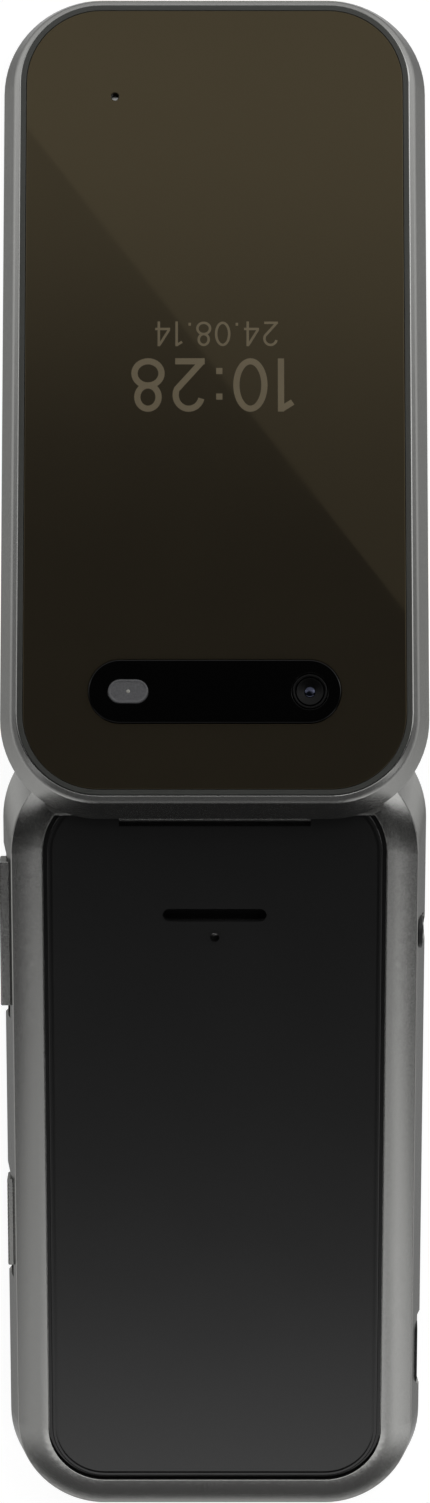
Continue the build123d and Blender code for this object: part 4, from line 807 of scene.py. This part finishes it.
@dataclass
class Keypad:
    """Printed legends of the keys, each riding on its key.

    Args:
        half: the base.
        face: height of the key faces, which look away from the back cover.
        ink: thickness of the print.
        grid: hinge to the first row of numbers, rows apart, and columns apart.
        soft_place: hinge to the soft keys.
        call_place: hinge to the call and end keys.
        side_x: middle plane to the soft keys.
        nav_place: hinge to the middle of the rocking ring.
        numeral: height and stroke of the numerals.
        dash: half the length and the stroke of the soft keys' dashes.
        arrow: half the width, half the height and the stroke of the ring's arrows.
        arrow_place: middle of the ring to its arrows.
        handset_stroke: stroke of the handsets.
        bow: a handset's bow, as y of its middle, its radius and both its angles.
        ear: run and drop of the handset's ends.
    """

    half: Half
    face: float = -4.85
    ink: float = 0.012
    grid: tuple[float, ...] = (46.5, 12.7, 15.6)
    soft_place: float = 17.0
    call_place: float = 29.5
    side_x: float = 17.3
    nav_place: float = 22.5
    numeral: Point = (4.2, 0.5)
    dash: Point = (1.3, 0.5)
    arrow: tuple[float, ...] = (0.7, 0.35, 0.32)
    arrow_place: float = 6.7
    handset_stroke: float = 0.62
    bow: tuple[float, ...] = (-1.6, 2.2, 145.0, 35.0)
    ear: Point = (0.35, 0.75)

    def print_strokes(self, paths: list[list[Point]], width: float, ink: Finish, body: str,
                      name: str = "", slot: str = "key_plastic") -> None:
        """Print one symbol on the key of a body, named after that key unless a name is given."""
        shape = Shape(f"legend_{name or body}")
        for path in paths:
            shape.bar(path, width, self.face - self.ink, self.face)
        shape.build(self.half, ink, slot, body, smooth=False)

    def numbers(self) -> None:
        """Numerals, star and hash in a grid of three columns."""
        (first, row_pitch, column_pitch), (height, stroke) = self.grid, self.numeral
        for index, name in enumerate(KEY_ORDER):
            row, column = divmod(index, 3)
            spot = ((1 - column) * column_pitch, -(first + row * row_pitch))
            shape = Shape(f"legend_{name}")
            text = {"star": "*", "hash": "#"}.get(name, name)
            line = Lettering(text, height, stroke, 0.0, spot, mirrored=True)
            line.draw(shape, self.face - self.ink, self.face)
            shape.build(self.half, LEGEND_INK, "key_plastic", f"key_{name}", smooth=False)

    def handset(self, x: float, turn_deg: float) -> list[list[Point]]:
        """Strokes of a plain telephone handset in the call row, turned about its middle."""
        (middle, radius, start, end), (run, drop) = self.bow, self.ear
        bow = arc((0.0, middle), (radius, radius), start, end, 12)
        ears = [[(x0, y0), (x0 + way * run, y0 - drop)] for way, (x0, y0) in ((-1, bow[0]), (1, bow[-1]))]
        return [turned(path, turn_deg, (x, -self.call_place)) for path in (bow, *ears)]

    def build(self) -> None:
        """Print all legends."""
        self.numbers()
        reach, dash_stroke = self.dash
        for side, body in ((1, "soft_key_left"), (-1, "soft_key_right")):
            ends = [(side * self.side_x + way * reach, -self.soft_place) for way in (-1, 1)]
            self.print_strokes([ends], dash_stroke, LEGEND_INK, body)
        for side, turn_deg, ink, body in ((1, -45, CALL_INK, "call_key"), (-1, 0, END_INK, "end_key")):
            self.print_strokes(self.handset(side * self.side_x, turn_deg), self.handset_stroke, ink, body)
        half, rise, stroke = self.arrow
        arrow = [(x, y + self.arrow_place) for x, y in ((-half, -rise), (0.0, rise), (half, -rise))]
        for quarter in range(4):
            path = turned(arrow, 90 * quarter, (0.0, -self.nav_place))
            self.print_strokes([path], stroke, FRONT_PLASTIC, "nav_ring", f"nav_{quarter}", "key_silver")


@dataclass
class Sockets:
    """Contacts of the charging socket, and the silver area on the battery.

    Args:
        half: the base.
        socket_place: hinge to the middle of the charging socket.
        tongue_face: height of the tongue's upper face.
        contact_ends: x of both ends of the contacts on the tongue.
        contact_pitch: contacts apart.
        contact_size: width and thickness of a contact.
        plate: size, corner radius and place of the silver area.
        battery_back: height of the battery's outer face.
        film: thickness of the area.
    """

    half: Half
    socket_place: float = 79.6
    tongue_face: float = 1.2
    contact_ends: Point = (21.1, 25.35)
    contact_pitch: float = 0.9
    contact_size: Point = (0.4, 0.05)
    plate: tuple[Point, float, Point] = ((30.0, 46.0), 1.2, (0.0, -57.0))
    battery_back: float = 5.25
    film: float = 0.02

    def build(self) -> None:
        """Build five gold contacts on the tongue, and the plain silver area."""
        contacts = Shape("socket_contacts")
        width, thickness = self.contact_size
        for strip in range(-2, 3):
            y = -self.socket_place + strip * self.contact_pitch
            ends = [(x, y) for x in self.contact_ends]
            contacts.bar(ends, width, self.tongue_face, self.tongue_face + thickness)
        contacts.build(self.half, CONTACT_GOLD, "contact_gold", "base", smooth=False)
        plate = Shape("battery_plate")
        loop = rounded_loop(*self.plate)
        plate.stack([(loop, self.battery_back), (loop, self.battery_back + self.film)])
        plate.build(self.half, BATTERY_PLATE, "battery_wrap", "base", smooth=False)


@dataclass
class Studio:
    """Plain pale floor, soft light and the camera.

    Args:
        focal_pixels: focal length in pixels of the photo's frame.
        frame_height: height of the photo's frame in pixels.
        lean_deg: lean of the view from straight down, towards the lid.
        axis_depth: distance from the camera to the hinge axis along the view.
        axis_drop: how far the hinge axis lies below the middle of the frame.
        axis_side: how far the camera stands to the right of the middle plane.
        floor_size: length of the floor in metres.
        phone_half: half the width and half the length of the phone in metres.
        fade: distances from the phone between which the painted pool of light in the mirrored floor fades, and its
            light at them.
        paper_glow: light of the floor for the camera.
        ceiling: Z of the directions where the ceiling ends and the walls begin, and the light of both.
        strip_light: light of the strip that the cover mirrors.
        floor_grey: grey of the floor that lights the phone.
        floor_roughness: its roughness.
        paper_grey: grey of the floor that the camera and the metal see.
        sensor: width of the camera's sensor in millimetres.
        clip: nearest and farthest that the camera sees, in metres.
        card_edge: ends of the key card's slanting edge, in metres.
        card_size: width and length of the card in metres.
        card_watts: power of the card.
    """

    focal_pixels: float = 3907.6
    frame_height: float = 1503.0
    lean_deg: float = 6.0
    axis_depth: float = 506.55
    axis_drop: float = 2.74
    axis_side: float = 0.04
    floor_size: float = 6.0
    phone_half: Point = (0.028, 0.1)
    fade: tuple[float, ...] = (0.02, 0.085, 1.0, 0.13)
    paper_glow: float = 0.88
    ceiling: tuple[float, ...] = (0.92, 0.815, 0.05, 1.45)
    strip_light: float = 1.5
    floor_grey: float = 0.9
    floor_roughness: float = 0.9
    paper_grey: float = 0.3
    sensor: float = 36.0
    clip: Point = (0.01, 20.0)
    card_edge: tuple[tuple[float, float, float], ...] = ((-0.076, 0.65, 1.0), (0.069, 0.444, 1.0))
    card_size: Point = (1.0, 1.6)
    card_watts: float = 1.4

    def camera(self, half: Half) -> None:
        """Place the camera at the photo's viewing angle."""
        lean = math.radians(self.lean_deg)
        back = Vector((0.0, math.sin(lean), math.cos(lean)))
        up = Vector((0.0, math.cos(lean), -math.sin(lean)))
        right = up.cross(back)
        data = bpy.data.cameras.new("camera")
        data.sensor_width = self.sensor
        data.lens = self.sensor * self.focal_pixels / self.frame_height
        data.clip_start, data.clip_end = self.clip
        camera = bpy.data.objects.new("camera", data)
        bpy.context.scene.collection.objects.link(camera)
        place = half.origin + (back * self.axis_depth + up * self.axis_drop + right * self.axis_side) * MM
        turn = Matrix((right, up, back)).transposed().to_4x4()
        camera.matrix_world = Matrix.Translation(place) @ turn
        bpy.context.scene.camera = camera

    def floor(self) -> None:
        """Build the pale floor, which keeps the phone's shadow."""
        mesh = bpy.data.meshes.new("floor")
        s = self.floor_size / 2
        mesh.from_pydata([(-s, -s, 0), (s, -s, 0), (s, s, 0), (-s, s, 0)], [], [(0, 1, 2, 3)])
        floor = bpy.data.objects.new("floor", mesh)
        bpy.context.scene.collection.objects.link(floor)
        made = bpy.data.materials.new("floor_paper")
        made.use_nodes = True
        tree = made.node_tree
        shader = tree.nodes["Principled BSDF"]
        grey = self.floor_grey
        wire(tree, shader, {"Base Color": (grey, grey, grey, 1.0), "Roughness": self.floor_roughness})
        path = add_node(tree, "ShaderNodeLightPath")
        # The camera and the metal see white paper that still takes a quarter of the shadow. For the metal its glow
        # is a painted pool of light, which fades with the distance from the phone
        place = add_node(tree, "ShaderNodeNewGeometry")
        spot = add_node(tree, "ShaderNodeVectorMath", {0: place.outputs["Position"]}, operation="ABSOLUTE")
        beyond = add_node(tree, "ShaderNodeVectorMath", {0: spot.outputs[0], 1: (*self.phone_half, 0.0)},
                          operation="SUBTRACT")
        split = add_node(tree, "ShaderNodeSeparateXYZ", {0: beyond.outputs[0]})
        distance = add_node(tree, "ShaderNodeMath", {0: split.outputs["X"], 1: split.outputs["Y"]},
                            operation="MAXIMUM")
        fade = add_node(tree, "ShaderNodeMapRange", dict(zip(RANGE, (distance.outputs[0], *self.fade))),
                        interpolation_type="SMOOTHSTEP")
        gap = add_node(tree, "ShaderNodeMath", {0: self.paper_glow, 1: fade.outputs[0]},
                       operation="SUBTRACT")
        strength = add_node(tree, "ShaderNodeMath",
                            {0: path.outputs["Is Camera Ray"], 1: gap.outputs[0], 2: fade.outputs[0]},
                            operation="MULTIPLY_ADD")
        grey = self.paper_grey
        paper = add_node(tree, "ShaderNodeBsdfDiffuse", {"Color": (grey, grey, grey, 1.0)})
        shine = add_node(tree, "ShaderNodeEmission", {"Color": WHITE, "Strength": strength.outputs[0]})
        glow = add_node(tree, "ShaderNodeAddShader", {0: paper.outputs[0], 1: shine.outputs[0]})
        seen = path.outputs["Is Camera Ray"]
        for ray in ("Is Glossy Ray", "Is Transmission Ray"):
            seen = add_node(tree, "ShaderNodeMath", {0: seen, 1: path.outputs[ray]},
                            operation="MAXIMUM").outputs[0]
        mix = add_node(tree, "ShaderNodeMixShader", {0: seen, 1: shader.outputs[0], 2: glow.outputs[0]})
        tree.links.new(mix.outputs[0], tree.nodes["Material Output"].inputs["Surface"])
        mesh.materials.append(made)

    @staticmethod
    def shade(tree: Tree, light: Socket | float, split: bpy.types.Node,
              factors: tuple[tuple[str, float, float, float], ...]) -> Socket:
        """Multiply a light by factors that each change along one direction.

        Args:
            tree: nodes of the world.
            light: the light to begin with.
            split: the direction's X, Y and Z.
            factors: axis, where the factor is still 1, where it ends, and its value there.

        Returns:
            The shaded light.
        """
        for axis, start, end, low in factors:
            change = dict(zip(RANGE, (split.outputs[axis], start, end, 1.0, low)))
            factor = add_node(tree, "ShaderNodeMapRange", change, interpolation_type="SMOOTHSTEP")
            light = add_node(tree, "ShaderNodeMath", {0: light, 1: factor.outputs[0]},
                             operation="MULTIPLY").outputs[0]
        return light

    def world(self) -> None:
        """Studio surround: bright walls under a dark ceiling, white where the camera sees it."""
        world = bpy.data.worlds.new("studio")
        world.use_nodes = True
        tree = world.node_tree
        ground = tree.nodes["Background"]
        way = add_node(tree, "ShaderNodeTexCoord").outputs["Generated"]
        split = add_node(tree, "ShaderNodeSeparateXYZ", {0: way})
        ramp = add_node(tree, "ShaderNodeMapRange", dict(zip(RANGE, (split.outputs["Z"], *self.ceiling))),
                        interpolation_type="SMOOTHSTEP")
        # Brightest on the right and darker low down. Along the phone: a lighter part behind the lid,
        # dark over the hinge, rising towards the base's side and fading beyond it
        walls = self.shade(tree, ramp.outputs[0], split, (
            ("Z", 0.55, 0.0, 0.85), ("X", 0.7, 0.35, 0.55), ("X", -0.35, -0.7, 1.08),
            ("Y", 0.46, 0.56, 0.45), ("Y", 0.36, 0.46, 2.2), ("Y", 0.23, 0.08, 0.015),
            ("Y", -0.08, -0.34, 6.0), ("Y", -0.33, -0.43, 9.5), ("Y", -0.5, -0.8, 0.2),
        ))
        # A narrow bright strip in the middle, which the far end of the cover mirrors
        strip = self.shade(tree, self.strip_light, split, (
            ("X", 0.25, 0.45, 0.0), ("X", -0.25, -0.45, 0.0), ("Y", -0.57, -0.48, 0.0),
            ("Y", -0.62, -0.72, 0.0), ("Z", 0.75, 0.6, 0.0),
        ))
        strength = add_node(tree, "ShaderNodeMath", {0: walls, 1: strip}, operation="ADD").outputs[0]
        wire(tree, ground, {"Color": WHITE, "Strength": strength})
        white = add_node(tree, "ShaderNodeBackground", {"Color": WHITE, "Strength": 1.0})
        path = add_node(tree, "ShaderNodeLightPath")
        mix = add_node(tree, "ShaderNodeMixShader",
                       {0: path.outputs["Is Camera Ray"], 1: ground.outputs[0], 2: white.outputs[0]})
        tree.links.new(mix.outputs[0], tree.nodes["World Output"].inputs["Surface"])
        bpy.context.scene.world = world

    def light(self) -> None:
        """Hang one large soft card beyond the lid, whose slanting edge shows in the glass."""
        start, end = (Vector(point) for point in self.card_edge)
        run = (end - start).normalized()
        breadth, length = self.card_size
        data = bpy.data.lights.new("key_card", "AREA")
        data.shape = "RECTANGLE"
        data.size, data.size_y = length, breadth
        data.energy = self.card_watts
        card = bpy.data.objects.new("key_card", data)
        bpy.context.scene.collection.objects.link(card)
        middle = (start + end) / 2 + Vector((-run.y, run.x, 0.0)) * breadth / 2
        card.matrix_world = Matrix.Translation(middle) @ Matrix.Rotation(math.atan2(run.y, run.x), 4, "Z")


def main() -> None:
    """Build the phone's finishes, fine pieces and the studio in order."""
    logging.basicConfig(level=logging.INFO, format="%(message)s")
    base, lid = read_halves()
    dress_nodes()
    OuterFace(lid).build()
    CameraGroup(lid).build()
    MainDisplay(lid).build()
    Keypad(base).build()
    Sockets(base).build()
    studio = Studio()
    studio.floor()
    studio.world()
    studio.light()
    studio.camera(base)
    bpy.context.scene.view_settings.view_transform = "Standard"


if __name__ == "__main__":
    main()
